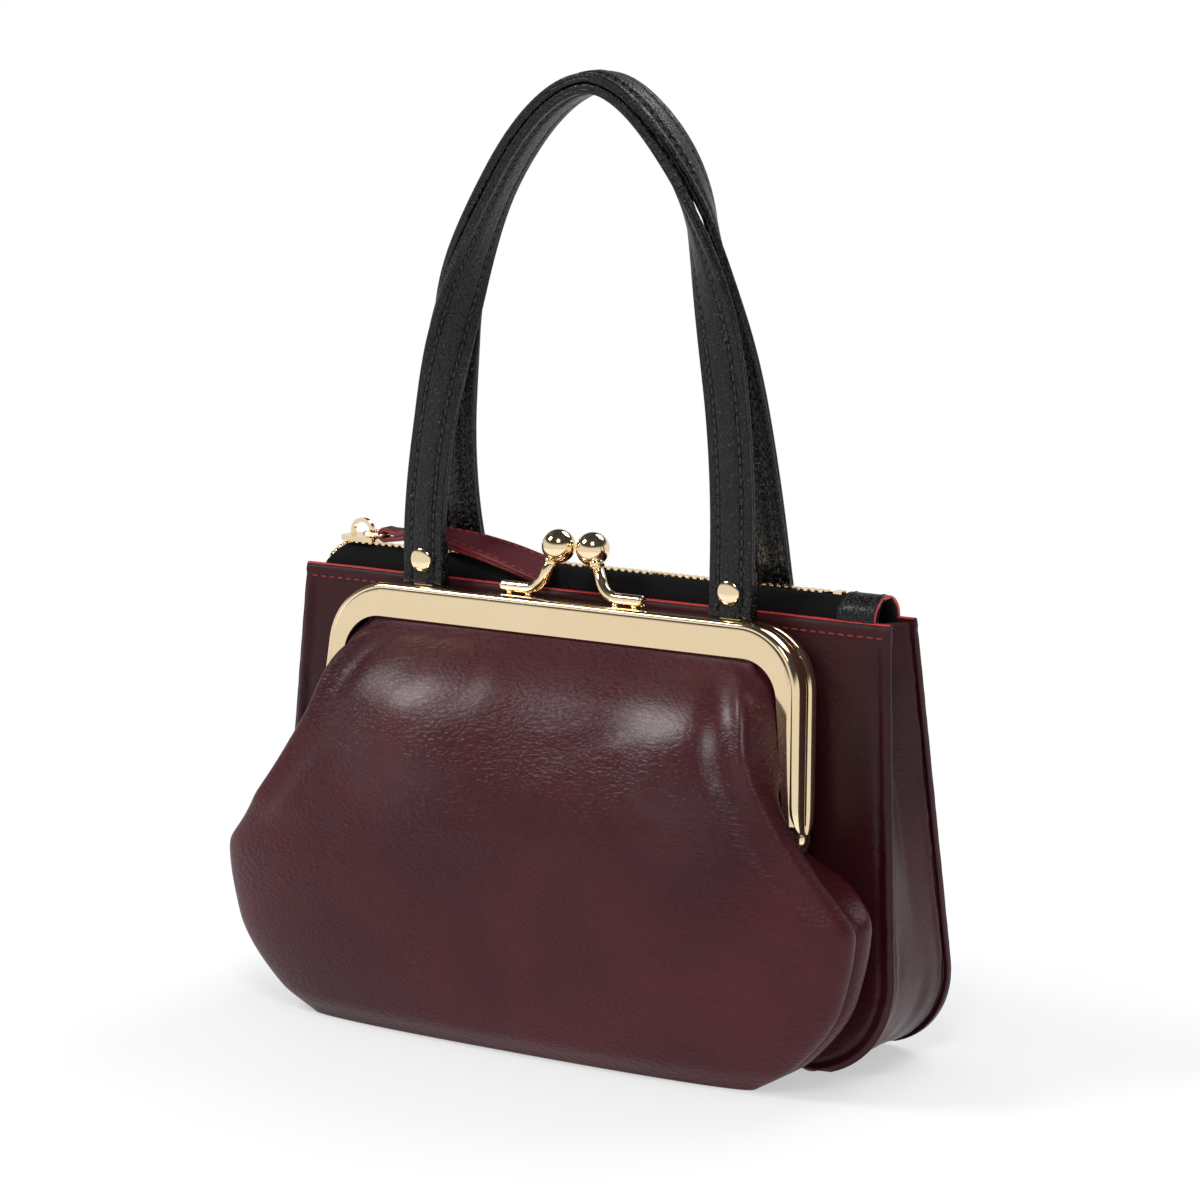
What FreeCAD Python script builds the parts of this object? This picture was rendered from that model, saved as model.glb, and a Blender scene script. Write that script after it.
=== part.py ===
"""Two-compartment handbag: a kiss lock frame purse on the front of a zipped compartment.

Frame of the part: X to the right, Y towards the back, Z up, millimetres, origin on the floor
under the middle of the bag. The purse frame is drawn upright about its hinge line and then
leaned back, as it stands on the bag.
"""
import FreeCAD, Part
import math
import os

from FreeCAD import Placement, Rotation, Vector

# Driving dimensions, in millimetres and degrees
SIZES = {
    # Purse frame
    "hinge_y": -8.0,
    "hinge_z": 75.0,
    "frame_lean_degrees": 7.5,
    "frame_height": 64.0,
    "frame_top_half": 85.6,
    "frame_hinge_half": 89.8,
    "frame_corner": 21.0,
    "frame_inner_corner": 13.0,
    "frame_bar_face": 10.8,
    "frame_leg_face": 7.4,
    "frame_tip_face": 3.4,
    "frame_lip": 5.0,
    "frame_rim": 1.5,
    "frame_wall": 1.1,
    "front_depth": 8.0,
    "rear_depth": 5.6,
    "front_round": 2.6,
    "rear_round": 2.0,
    "parting_gap": 0.3,
    "lug_radius": 4.0,
    "lug_thickness": 1.5,
    "lug_root": 9.0,
    "lug_gap": 0.3,
    "hinge_pin_radius": 1.5,
    "hinge_head_radius": 2.5,
    "hinge_head_height": 1.0,
    "front_cord_radius": 1.2,
    "rear_cord_radius": 0.55,
    # Clasp
    "ball_radius": 5.35,
    "ball_pass_gap": 0.35,
    "ball_rise": 17.0,
    "ball_cross": 1.3,
    "rod_radius": 1.8,
    "rod_lift": 0.9,
    "rod_outer_end": 28.0,
    "rod_bend_start": 14.0,
    "rod_bend_radius": 4.0,
    "collar_radius": 2.6,
    "collar_height": 1.4,
    "foot_length": 3.2,
    "foot_width": 2.4,
    "foot_pitch": 7.0,
    # Handles
    "strap_width": 15.0,
    "strap_thickness": 3.0,
    "strap_span_half": 57.4,
    "fold_thickness": 4.4,
    "fold_length": 13.6,
    "handle_rise": 145.5,
    "front_apex_y": 9.6,
    "apex_gap": 0.6,
    "eye_width": 7.0,
    "eye_thickness": 2.4,
    "eye_rise": 3.6,
    "eye_notch_gap": 0.4,
    "eye_pin_radius": 0.65,
    "eye_pin_inset": 0.5,
    "strap_rivet_rise": 4.8,
    "rivet_cap_radius": 3.7,
    "rivet_cap_height": 1.5,
    "rivet_post_radius": 1.1,
    "rear_strap_drop": 36.0,
    "rear_rivet_drop": 24.0,
    # Leather, lining and the pouch
    "leather": 1.4,
    "lining": 0.7,
    "lining_gap": 0.3,
    "soft_gap": 0.35,
    "pouch_flare_half": 116.5,
    "pouch_flare_height": 52.0,
    "pouch_front_reach": 41.5,
    "pouch_front_bulge": 30.0,
    # Zipped compartment
    "panel_thickness": 2.0,
    "panel_height": 140.0,
    "panel_top_half": 109.0,
    "panel_base_half": 117.5,
    "panel_corner": 32.0,
    "panel_top_corner": 2.0,
    "panel_floor_gap": 0.4,
    "front_panel_top_y": 8.2,
    "front_panel_base_y": -0.4,
    "mouth_depth": 17.0,
    "base_depth": 41.9,
    "gusset_thickness": 1.6,
    "gusset_inset": 1.5,
    "gusset_top_drop": 1.0,
    "pleat_depth": 11.0,
    "pleat_height": 104.0,
    "compartment_lining_inset": 15.5,
    "compartment_lining_drop": 8.5,
    # Zip
    "tape_thickness": 0.9,
    "tape_half_length": 103.4,
    "tape_hem": 8.0,
    "tape_crown": 6.4,
    "tooth_pitch": 2.65,
    "tooth_length": 1.2,
    "tooth_height": 2.2,
    "tooth_overlap": 0.6,
    "tape_edge_half": 1.6,
    "chain_inset": 9.4,
    "stop_length": 3.0,
    "stop_height": 2.6,
    "stop_reach": 1.1,
    "top_stop_inset": 1.9,
    "end_tab_length": 15.0,
    "end_tab_thickness": 1.2,
    "end_tab_overlap": 0.6,
    "slider_inset": 10.9,
    "slider_length": 13.5,
    "slider_width": 9.0,
    "slider_base_width": 6.4,
    "slider_corner": 2.4,
    "slider_plate": 1.5,
    "slider_gap": 0.4,
    "slider_post_length": 2.6,
    "slider_post_width": 2.2,
    "slider_post_inset": 0.8,
    "bail_length": 8.8,
    "bail_thickness": 1.3,
    "bail_width": 1.5,
    "bail_opening": 4.4,
    "bail_corner": 2.9,
    # Pull
    "link_wire": 0.6,
    "link_start": 2.0,
    "link_length": 8.0,
    "link_half_width": 3.2,
    "link_corner": 1.6,
    "link_lift": 1.1,
    "pull_length": 67.0,
    "pull_width": 10.0,
    "pull_leaf": 1.6,
    "pull_eye_gap": 0.35,
    "pull_drift": 7.3,
    "pull_drop": 5.4,
    "pull_roll_degrees": 45.0,
    # Fits
    "running_gap": 0.05,
    "seat_gap": 0.02,
    "overrun": 3.0,
}

# Shares chosen by hand
LUG_ROOT_SHARE = 0.8
ARCH_SHARES = (0.0, 0.14, 0.28, 0.41, 0.53, 0.64, 0.74, 0.83, 0.905, 0.96, 0.99)
ARCH_POWER_SHARE = 0.7
ARCH_CURVE = 2.2
FOOT_SHARES = (0.0, 0.5, 0.97)

# The pull from its eye to its end: shares of its length, its drift to the front, its drop and its roll
PULL_SHARES = ((0.045, 0.0, 0.0, 0.0), (0.25, 0.06, -0.12, 0.12), (0.5, 0.38, -0.1, 0.42),
               (0.75, 0.7, 0.35, 0.72), (1.0, 1.0, 1.0, 1.0))

# Places across half of a pouch section, as shares of its half width, and the power of its round swell
SWELL_SHARES = (1.0, 0.97, 0.92, 0.84, 0.72, 0.56, 0.38, 0.19)
SWELL_POWER = 2.4

# Pouch below its hinges: height as a share of the flare height, half widths of the seam and of the
# front and rear creases as shares of the flare half width, depths of the seam, the front crease and
# the front as shares of the front reach, rear crease and rear as shares of the room behind the seam.
LOWER_SHARES = (
    (0.0, 0.704, 0.712, 0.712, 0.506, 0.592, 0.747, 0.28, 0.5),
    (0.154, 0.815, 0.824, 0.824, 0.506, 0.592, 0.9, 0.28, 0.85),
    (0.577, 0.957, 0.966, 0.964, 0.494, 0.582, 0.988, 0.24, 0.99),
    (1.0, 0.991, 1.0, 0.997, 0.482, 0.572, 1.0, 0.25, 1.0),
    (1.2, 0.85, 0.94, 0.9, 0.37, 0.57, 0.995, 0.5, 1.0),
)

# Pouch from its hinges up to the frame's top bar: height as a share of the frame's opening, front
# crease as a share of the opening's half width, depths of the front crease and the front as shares of
# the front bulge, then the same three for the rear, its depths as shares of the room behind it.
UPPER_SHARES = (
    (-0.09, 1.22, 0.36, 0.92, 1.03, 0.45, 1.0),
    (0.2, 1.1, 0.42, 0.93, 0.97, 0.6, 0.98),
    (0.5, 1.02, 0.41, 0.81, 0.96, 0.55, 0.9),
    (0.74, 0.985, 0.22, 0.55, 0.955, 0.56, 0.76),
    (0.9, 0.96, 0.125, 0.25, 0.96, 0.57, 0.67),
    (0.98, 0.95, 0.055, 0.07, 0.95, 0.3, 0.38),
)

doc = FreeCAD.newDocument("frame_purse")
sheet = doc.addObject("Spreadsheet::Sheet", "sizes")
for row, (alias, value) in enumerate(SIZES.items(), start=1):
    sheet.set("A%d" % row, alias)
    sheet.set("B%d" % row, str(value))
    sheet.setAlias("B%d" % row, alias)
doc.recompute()

nodes = []
ORIGIN = Vector(0, 0, 0)
X_AXIS = Vector(1, 0, 0)
Y_AXIS = Vector(0, 1, 0)
Z_AXIS = Vector(0, 0, 1)


def size(alias):
    """The number held by one aliased cell of the sheet."""
    return float(sheet.get(alias))


def keep(obj, label):
    """Register an object of the document as a sub-part under its label."""
    obj.Label = label
    nodes.append(obj)
    return obj


def plain(label, shape, placement=None):
    """A sub-part whose shape is worked out here."""
    obj = doc.addObject("Part::Feature", label)
    obj.Shape = shape
    if placement is not None:
        obj.Placement = placement
    return keep(obj, label)


def new_body(label, placement=None):
    """An empty body for one sub-part."""
    body = doc.addObject("PartDesign::Body", label)
    if placement is not None:
        body.Placement = placement
    return keep(body, label)


def add_sketch(body, name, role, geometry, offset):
    """A sketch on one of its body's origin planes, moved along the normal by an expression."""
    sketch = body.newObject("Sketcher::SketchObject", name)
    plane = [item for item in body.Origin.OriginFeatures if item.Role == role][0]
    sketch.AttachmentSupport = [(plane, "")]
    sketch.MapMode = "FlatFace"
    sketch.setExpression("AttachmentOffset.Base.z", offset)
    sketch.addGeometry(geometry, False)
    return sketch


def add_pad(body, name, role, geometry, length, offset):
    """A pad of a closed outline, its place and length bound to the sheet."""
    sketch = add_sketch(body, name + "_outline", role, geometry, offset)
    pad = body.newObject("PartDesign::Pad", name)
    pad.Profile = sketch
    pad.setExpression("Length", length)
    return pad


def rounded_path(points, radii, closed=True):
    """Lines and tangent arcs through the points, each corner rounded by its own radius."""
    count = len(points)
    stretches = []
    for i, corner in enumerate(points):
        is_end = not closed and i in (0, count - 1)
        if is_end or radii[i] == 0:
            stretches.append((corner, None, corner))
            continue
        before = (points[i - 1] - corner).normalize()
        after = (points[(i + 1) % count] - corner).normalize()
        half = before.getAngle(after) / 2
        reach = radii[i] / math.tan(half)
        inward = (before + after).normalize()
        middle = corner + inward * (radii[i] / math.sin(half) - radii[i])
        stretches.append((corner + before * reach, middle, corner + after * reach))
    geometry = []
    for i, (entry, middle, leave) in enumerate(stretches):
        if middle is not None:
            geometry.append(Part.Arc(entry, middle, leave))
        following = stretches[(i + 1) % count][0]
        if (closed or i < count - 1) and not leave.isEqual(following, 1e-7):
            geometry.append(Part.LineSegment(leave, following))
    return geometry


def flat_outline(points, radii):
    """A closed rounded outline through (a, b) pairs in a sketch's own plane."""
    return rounded_path([Vector(a, b, 0) for a, b in points], radii)


def wire_of(geometry):
    """One wire from lines and arcs that follow each other."""
    return Part.Wire([item.toShape() for item in geometry])


def prism_y(points, radii, low_y, high_y):
    """A prism along Y over a rounded outline of (x, z) points."""
    path = rounded_path([Vector(x, low_y, z) for x, z in points], radii)
    return Part.Face(wire_of(path)).extrude(Y_AXIS * (high_y - low_y))


def prism_x(points, low_x, high_x):
    """A prism along X over a polygon of (y, z) points."""
    corners = [Vector(low_x, y, z) for y, z in points]
    return Part.Face(Part.makePolygon(corners + corners[:1])).extrude(X_AXIS * (high_x - low_x))


def strip(near, far):
    """Triangles between two rows with equal numbers of points, alike on both sides of their middle."""
    triangles = []
    count = len(near) - 1
    for i in range(count):
        if 2 * i < count:
            triangles.append([near[i], near[i + 1], far[i + 1]])
            triangles.append([near[i], far[i + 1], far[i]])
        else:
            triangles.append([near[i], near[i + 1], far[i]])
            triangles.append([near[i + 1], far[i + 1], far[i]])
    return triangles


def sewn(faces):
    """A solid inside faces that share all their edges."""
    shell = Part.Shell(faces)
    shell.sewShape()
    solid = Part.Solid(shell)
    if solid.Volume < 0:
        solid.reverse()
    return solid


def flat_face(corners):
    """A flat face inside a closed row of corners."""
    return Part.Face(Part.makePolygon(corners + corners[:1]))


def faceted(rings):
    """A closed solid of flat triangles through a row of flat rings with equal numbers of points."""
    faces = [flat_face(ring) for ring in (rings[0], rings[-1])]
    for near, far in zip(rings, rings[1:]):
        faces += [flat_face(triangle) for triangle in strip(near + near[:1], far + far[:1])]
    return sewn(faces)


def bowl(outer, inner):
    """A wall with a floor and one open side, between rows of points outside and inside, lowest first.

    Each row runs from the right end of the open side round to its left end.
    """
    sills = []
    for end, *others in (inner[0], outer[0]):
        sills.append([Vector(max(-end.x, min(end.x, point.x)), end.y, end.z) for point in [end] + others])
    triangles = strip(inner[-1], outer[-1])
    for near, far in zip(sills[:1] + inner, inner):
        triangles += strip(near, far)
    for near, far in zip(sills[1:] + outer, outer):
        triangles += [triangle[::-1] for triangle in strip(near, far)]
    triangles += strip(sills[1], sills[0])
    triangles += strip([row[0] for row in inner], [row[0] for row in outer])
    triangles += strip([row[-1] for row in outer], [row[-1] for row in inner])
    return sewn([flat_face(triangle) for triangle in triangles if len(set(map(tuple, triangle))) == 3])


def round_bar(geometry, radius):
    """A round bar along a path of lines and arcs."""
    path = wire_of(geometry)
    first = path.OrderedEdges[0]
    start = path.OrderedVertexes[0].Point
    ring = Part.Wire(Part.makeCircle(radius, start, first.tangentAt(first.FirstParameter)))
    return path.makePipeShell([ring], True, False)


def rivet(stack, cap_radius, cap_height, post_radius, place, direction):
    """A rivet with a domed cap at both ends of a stack that starts at place and runs along direction."""
    low, high = -size("seat_gap"), stack + size("seat_gap")
    dome = (cap_radius**2 + cap_height**2) / (2 * cap_height)
    halfway = math.asin(cap_radius / dome) / 2
    across = dome * math.sin(halfway)
    rise = cap_height - dome * (1 - math.cos(halfway))
    rows = [(0, low - cap_height), (cap_radius, low), (post_radius, low),
            (post_radius, high), (cap_radius, high), (0, high + cap_height)]
    bottom, bottom_edge, bottom_neck, top_neck, top_edge, top = [Vector(r, 0, z) for r, z in rows]
    bottom_dome = Vector(across, 0, low - rise)
    top_dome = Vector(across, 0, high + rise)
    profile = wire_of([
        Part.Arc(bottom, bottom_dome, bottom_edge), Part.LineSegment(bottom_edge, bottom_neck),
        Part.LineSegment(bottom_neck, top_neck), Part.LineSegment(top_neck, top_edge),
        Part.Arc(top_edge, top_dome, top), Part.LineSegment(top, bottom),
    ])
    solid = Part.Face(profile).revolve(ORIGIN, Z_AXIS, 360)
    solid.Placement = Placement(place, Rotation(Z_AXIS, direction))
    return solid


def both_sides(make):
    """A group of two solids, one on each side of the middle."""
    return Part.makeCompound([make(-1), make(1)])


# Purse frame, drawn upright about its hinge line
LEAN = math.radians(size("frame_lean_degrees"))
frame_turn = Rotation(X_AXIS, -size("frame_lean_degrees"))
frame_place = Placement(Vector(0, size("hinge_y"), size("hinge_z")), frame_turn)
frame_top = size("frame_height")
half_gap = size("parting_gap") / 2
leg_end = size("lug_radius") + size("soft_gap")
above_lugs = size("lug_root") + size("soft_gap")
opening_top = frame_top - size("frame_bar_face")


def frame_half(height):
    """Half the outer width of the splayed frame at a height above its hinge line."""
    splay = size("frame_top_half") - size("frame_hinge_half")
    return size("frame_hinge_half") + splay * height / frame_top


def frame_ring(inset, bar, leg, tip, inner_corner, low=leg_end):
    """A U inside the frame's outer outline: a top bar and splayed legs that taper to their tips."""
    top_half = frame_half(frame_top) - inset
    end_half = frame_half(low) - inset
    inner_half = frame_half(frame_top - bar) - leg
    inner_end = frame_half(low) - tip
    points = [
        (-end_half, low), (-top_half, frame_top - inset), (top_half, frame_top - inset), (end_half, low),
        (inner_end, low), (inner_half, frame_top - bar), (-inner_half, frame_top - bar), (-inner_end, low),
    ]
    outer_corner = size("frame_corner") - inset
    return flat_outline(points, [0, outer_corner, outer_corner, 0, 0, inner_corner, inner_corner, 0])


def lug_outline(side, depth, bore):
    """A hinge lug in (y, z): a tongue from the leg that ends round the hinge pin, with its bore."""
    radius = size("lug_radius")
    inner = side * half_gap
    shoulder = math.sqrt(radius**2 - half_gap**2)
    root_low = Vector(side * depth * LUG_ROOT_SHARE, size("lug_root"), 0)
    root_high = Vector(inner, size("lug_root"), 0)
    neck = Vector(inner, shoulder, 0)
    far = Vector(-side * radius, 0, 0)
    crown = Vector(-side * radius, radius, 0).normalize() * radius
    tip = Vector(0, -radius, 0)
    flank = Vector(side * radius, 0, 0)
    return [
        Part.LineSegment(root_low, root_high), Part.LineSegment(root_high, neck),
        Part.Arc(neck, crown, far), Part.Arc(far, tip, flank), Part.LineSegment(flank, root_low),
        Part.Circle(ORIGIN, Z_AXIS, bore),
    ]


def round_outer_edge(body, name, face_y, radius):
    """Round the outer edge of the frame's face, found by its place on the outer outline."""
    doc.recompute()
    tip = body.Tip
    outer = frame_ring(0, size("frame_rim"), size("frame_rim"), size("frame_rim"), 0)[:5]
    marks = []
    for item in outer:
        middle = item.toShape().CenterOfMass
        marks.append(Vector(middle.x, face_y, middle.y))
    edges = []
    for index, edge in enumerate(tip.Shape.Edges, start=1):
        if any(edge.CenterOfMass.distanceToPoint(mark) < size("seat_gap") for mark in marks):
            edges.append("Edge%d" % index)
    fillet = body.newObject("PartDesign::Fillet", name)
    fillet.Base = (tip, edges)
    fillet.setExpression("Radius", radius)


LUG_OUTER = ("(sizes.frame_hinge_half + (sizes.frame_top_half - sizes.frame_hinge_half)"
             " * sizes.lug_root / sizes.frame_height)")


def add_lugs(body, side, depth, bore, inner_layer):
    """The two hinge lugs of one half; inner_layer counts the lugs that lie outside them."""
    outer_face = "%s - %d * (sizes.lug_thickness + sizes.lug_gap)" % (LUG_OUTER, inner_layer)
    outline = lug_outline(side, depth, bore)
    inner_face = outer_face + " - sizes.lug_thickness"
    add_pad(body, "right_lug", "YZ_Plane", outline, "sizes.lug_thickness", inner_face)
    add_pad(body, "left_lug", "YZ_Plane", outline, "sizes.lug_thickness", "-(" + outer_face + ")")


def make_front_frame():
    """Front half: a channel open towards the middle, with a broad face and a rounded outer edge."""
    body = new_body("front_frame", frame_place)
    tip = size("frame_tip_face")
    face = frame_ring(0, size("frame_bar_face"), size("frame_leg_face"), tip, size("frame_inner_corner"))
    rim_corner = size("frame_corner") - size("frame_rim")
    rim = frame_ring(0, size("frame_rim"), size("frame_rim"), size("frame_rim"), rim_corner)
    lip = frame_ring(0, size("frame_lip"), tip, tip, size("frame_inner_corner"))
    add_pad(body, "front_face", "XZ_Plane", face, "sizes.frame_wall", "sizes.front_depth - sizes.frame_wall")
    rim_depth = "sizes.front_depth - sizes.parting_gap / 2"
    add_pad(body, "front_rim", "XZ_Plane", rim, rim_depth, "sizes.parting_gap / 2")
    round_outer_edge(body, "front_edge", -size("front_depth"), "sizes.front_round")
    add_pad(body, "front_lip", "XZ_Plane", lip, "sizes.frame_wall", "sizes.parting_gap / 2")
    bore = size("hinge_pin_radius") + size("running_gap")
    add_lugs(body, -1, size("front_depth"), bore, 0)


def make_rear_frame():
    """Rear half: a narrower channel that meets the front half on the parting plane."""
    body = new_body("rear_frame", frame_place)
    tip = size("frame_tip_face")
    face = frame_ring(0, size("frame_bar_face"), size("frame_leg_face"), tip, size("frame_inner_corner"))
    rim_corner = size("frame_corner") - size("frame_rim")
    rim = frame_ring(0, size("frame_rim"), size("frame_rim"), size("frame_rim"), rim_corner)
    lip = frame_ring(0, size("frame_lip"), tip, tip, size("frame_inner_corner"))
    add_pad(body, "rear_face", "XZ_Plane", face, "sizes.frame_wall", "-sizes.rear_depth")
    rim_depth = "sizes.rear_depth - sizes.parting_gap / 2"
    add_pad(body, "rear_rim", "XZ_Plane", rim, rim_depth, "-sizes.rear_depth")
    round_outer_edge(body, "rear_edge", size("rear_depth"), "sizes.rear_round")
    lip_face = "-sizes.parting_gap / 2 - sizes.frame_wall"
    add_pad(body, "rear_lip", "XZ_Plane", lip, "sizes.frame_wall", lip_face)
    bore = size("hinge_pin_radius") + size("seat_gap")
    add_lugs(body, 1, size("rear_depth"), bore, 1)


lug_outer = frame_half(size("lug_root"))
lug_inner = lug_outer - 2 * size("lug_thickness") - size("lug_gap")


def make_hinge_rivets():
    """The two rivets that pin the lugs together."""
    plain("hinge_rivets", both_sides(lambda side: rivet(
        lug_outer - lug_inner, size("hinge_head_radius"), size("hinge_head_height"), size("hinge_pin_radius"),
        Vector(side * lug_inner, 0, 0), X_AXIS * side)), frame_place)


def make_frame_cord(label, w, radius):
    """The cord crimped into one half's channel, along the channel's floor."""
    inset = size("frame_rim") + size("soft_gap") + radius
    low = above_lugs + radius
    points = [
        Vector(-frame_half(low) + inset, w, low),
        Vector(-frame_half(frame_top) + inset, w, frame_top - inset),
        Vector(frame_half(frame_top) - inset, w, frame_top - inset),
        Vector(frame_half(low) - inset, w, low),
    ]
    corner = size("frame_corner") - inset
    plain(label, round_bar(rounded_path(points, [0, corner, corner, 0], False), radius), frame_place)


# Clasp
ball_half = size("ball_radius") + size("ball_pass_gap") / 2
front_flat_w = -(size("front_depth") - size("front_round") + half_gap) / 2
rear_flat_w = (size("rear_depth") - size("rear_round") + half_gap) / 2


def make_clasp(label, side, rod_w, ball_w):
    """A bent rod on two soldered feet, and the ball on its collar."""
    lift = frame_top + size("rod_lift") + size("rod_radius")
    outer = Vector(side * size("rod_outer_end"), rod_w, lift)
    bend = Vector(side * size("rod_bend_start"), rod_w, lift)
    ball = Vector(side * ball_half, ball_w, frame_top + size("ball_rise"))
    path = rounded_path([outer, bend, ball], [0, size("rod_bend_radius"), 0], False)
    rod = round_bar(path, size("rod_radius"))
    rise = (ball - bend).normalize()
    collar_start = ball - rise * (size("ball_radius") + size("collar_height"))
    collar = Part.makeCylinder(size("collar_radius"), size("collar_height") * 2, collar_start, rise)
    rod = rod.fuse(collar)
    for index in range(2):
        middle = size("rod_outer_end") - size("foot_length") - index * size("foot_pitch")
        corner = Vector(side * middle - size("foot_length") / 2, rod_w - size("foot_width") / 2, frame_top)
        foot = Part.makeBox(size("foot_length"), size("foot_width"), lift - frame_top, corner)
        rod = rod.fuse(foot)
    seat = Part.makeSphere(size("ball_radius") + size("seat_gap"), ball)
    plain(label + "_clasp_rod", rod.cut(seat), frame_place)
    knob = doc.addObject("Part::Sphere", label + "_clasp_ball")
    knob.setExpression("Radius", "sizes.ball_radius")
    knob.Placement = Placement(frame_place.multVec(ball), frame_place.Rotation)
    keep(knob, label + "_clasp_ball")


# Eyes, pins and the front handle
eye_local = Vector(0, rear_flat_w, frame_top + size("eye_rise"))
pin_place = frame_place.multVec(eye_local)
fold_top = pin_place.z - size("fold_thickness") / 2 + size("fold_length")


def make_handle_eyes():
    """Two knuckles brazed on top of the rear half, bored for the handle's pins."""
    half_width = size("eye_width") / 2
    radius = size("eye_thickness") / 2

    def eye(side):
        centre = Vector(side * size("strap_span_half") - half_width, eye_local.y, eye_local.z)
        corner = Vector(centre.x, eye_local.y - radius, frame_top)
        block = Part.makeBox(size("eye_width"), size("eye_thickness"), size("eye_rise"), corner)
        knuckle = Part.makeCylinder(radius, size("eye_width"), centre, X_AXIS)
        bore_radius = size("eye_pin_radius") + size("running_gap")
        bore = Part.makeCylinder(bore_radius, size("eye_width"), centre, X_AXIS)
        return block.fuse(knuckle).cut(bore).removeSplitter()

    plain("handle_eyes", both_sides(eye), frame_place)


def make_handle_pins():
    """The pin in each of the front handle's two folds."""
    length = size("strap_width") - 2 * size("eye_pin_inset")
    group = doc.addObject("Part::Compound", "handle_pins")
    pins = []
    for name, side in (("left_pin", -1), ("right_pin", 1)):
        pin = doc.addObject("Part::Cylinder", name)
        pin.setExpression("Radius", "sizes.eye_pin_radius")
        pin.setExpression("Height", "sizes.strap_width - 2 * sizes.eye_pin_inset")
        start = Vector(side * size("strap_span_half") - length / 2, pin_place.y, pin_place.z)
        pin.Placement = Placement(start, Rotation(Z_AXIS, X_AXIS))
        pins.append(pin)
    group.Links = pins
    keep(group, "handle_pins")


def strap_section(centre, along, normal):
    """The strap's rectangle across its path."""
    across = along.cross(normal).normalize()
    wide = across * (size("strap_width") / 2)
    thick = normal * (size("strap_thickness") / 2)
    return [centre - wide - thick, centre + wide - thick, centre + wide + thick, centre - wide + thick]


def arch_point(share, foot_y, apex_y):
    """A point of the handle's arch; share runs from 0 at the foot to 1 at the apex."""
    x = -size("strap_span_half") * (1 - share**ARCH_CURVE) ** ARCH_POWER_SHARE
    return Vector(x, foot_y + (apex_y - foot_y) * share, fold_top + size("handle_rise") * share)


def strap_sections(foot_y, apex_y, outward, feet=()):
    """Sections from the left foot over the apex to the right foot.

    On the legs the strap's face points along outward; it turns a quarter by the apex, where its face
    points up.
    """
    left = [(place, Z_AXIS, outward) for place in feet]
    for share in ARCH_SHARES:
        place = arch_point(share, foot_y, apex_y)
        step = arch_point(min(share + 0.005, 1), foot_y, apex_y)
        along = (step - place).normalize() if share > 0 else Z_AXIS
        turn = share**2 * (3 - 2 * share) * math.pi / 2
        level = Vector(-along.z, 0, along.x).normalize()
        normal = (outward * math.cos(turn) + level * math.sin(turn)).normalize()
        left.append((place, along, normal))
    right = []
    for place, along, normal in reversed(left):
        mirrored = [Vector(-item.x, item.y, item.z) for item in (place, along, normal)]
        right.append((mirrored[0], mirrored[1] * -1, mirrored[2]))
    apex = [(arch_point(1, foot_y, apex_y), X_AXIS, Z_AXIS)]
    return [strap_section(*row) for row in left + apex + right]


def make_front_handle():
    """The front strap, folded round its pins and riveted to itself at both feet."""
    thick = size("fold_thickness")
    foot_y = pin_place.y - (thick - size("strap_thickness")) / 2
    strap = faceted(strap_sections(foot_y, size("front_apex_y"), Y_AXIS * -1))
    half_width = size("strap_width") / 2
    for side in (-1, 1):
        middle = side * size("strap_span_half")
        pin = Vector(middle - half_width, pin_place.y, pin_place.z)
        block = Part.makeBox(size("strap_width"), thick, fold_top - pin.z, pin - Y_AXIS * (thick / 2))
        fold = block.fuse(Part.makeCylinder(thick / 2, size("strap_width"), pin, X_AXIS))
        bore = Part.makeCylinder(size("eye_pin_radius") + size("seat_gap"), size("strap_width"), pin, X_AXIS)
        notch_width = size("eye_width") + 2 * size("eye_notch_gap")
        notch_top = size("eye_thickness") / 2 + size("eye_notch_gap")
        notch_low = pin_place - Vector(notch_width / 2 - middle, thick, thick)
        notch = Part.makeBox(notch_width, 2 * thick, thick + notch_top, notch_low)
        rivet_place = Vector(middle, pin.y - thick, pin.z + size("strap_rivet_rise"))
        hole = Part.makeCylinder(size("rivet_post_radius") + size("seat_gap"), 2 * thick, rivet_place, Y_AXIS)
        strap = strap.fuse(fold.cut(bore).cut(notch).cut(hole))
    plain("front_handle", strap.removeSplitter())


def make_front_handle_rivets():
    """The rivet with domed caps through each fold of the front handle."""
    thick = size("fold_thickness")
    plain("front_handle_rivets", both_sides(lambda side: rivet(
        thick, size("rivet_cap_radius"), size("rivet_cap_height"), size("rivet_post_radius"),
        Vector(
            side * size("strap_span_half"),
            pin_place.y - thick / 2,
            pin_place.z + size("strap_rivet_rise"),
        ),
        Y_AXIS)))


# Zipped compartment
front_slope = (size("front_panel_top_y") - size("front_panel_base_y")) / size("panel_height")
back_top_y = size("front_panel_top_y") + size("mouth_depth")
back_base_y = size("front_panel_base_y") + size("base_depth")
back_slope = (back_top_y - back_base_y) / size("panel_height")
front_tilt = math.atan(front_slope)
back_tilt = math.atan(back_slope)
mouth_y = size("front_panel_top_y") + size("mouth_depth") / 2
panel_rise = size("panel_height") - size("panel_floor_gap")


def front_face_y(z):
    """The outer face of the compartment's front panel."""
    return size("front_panel_base_y") + front_slope * z


def back_face_y(z):
    """The outer face of the compartment's back panel."""
    return back_base_y + back_slope * z


def front_inner_y(z):
    """The inner face of the front panel."""
    return front_face_y(z) + size("panel_thickness") / math.cos(front_tilt)


def back_inner_y(z):
    """The inner face of the back panel."""
    return back_face_y(z) - size("panel_thickness") / math.cos(back_tilt)


def panel_half(z):
    """Half the width of the compartment's panels."""
    taper = (size("panel_top_half") - size("panel_base_half")) / size("panel_height")
    return size("panel_base_half") + taper * z


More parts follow.
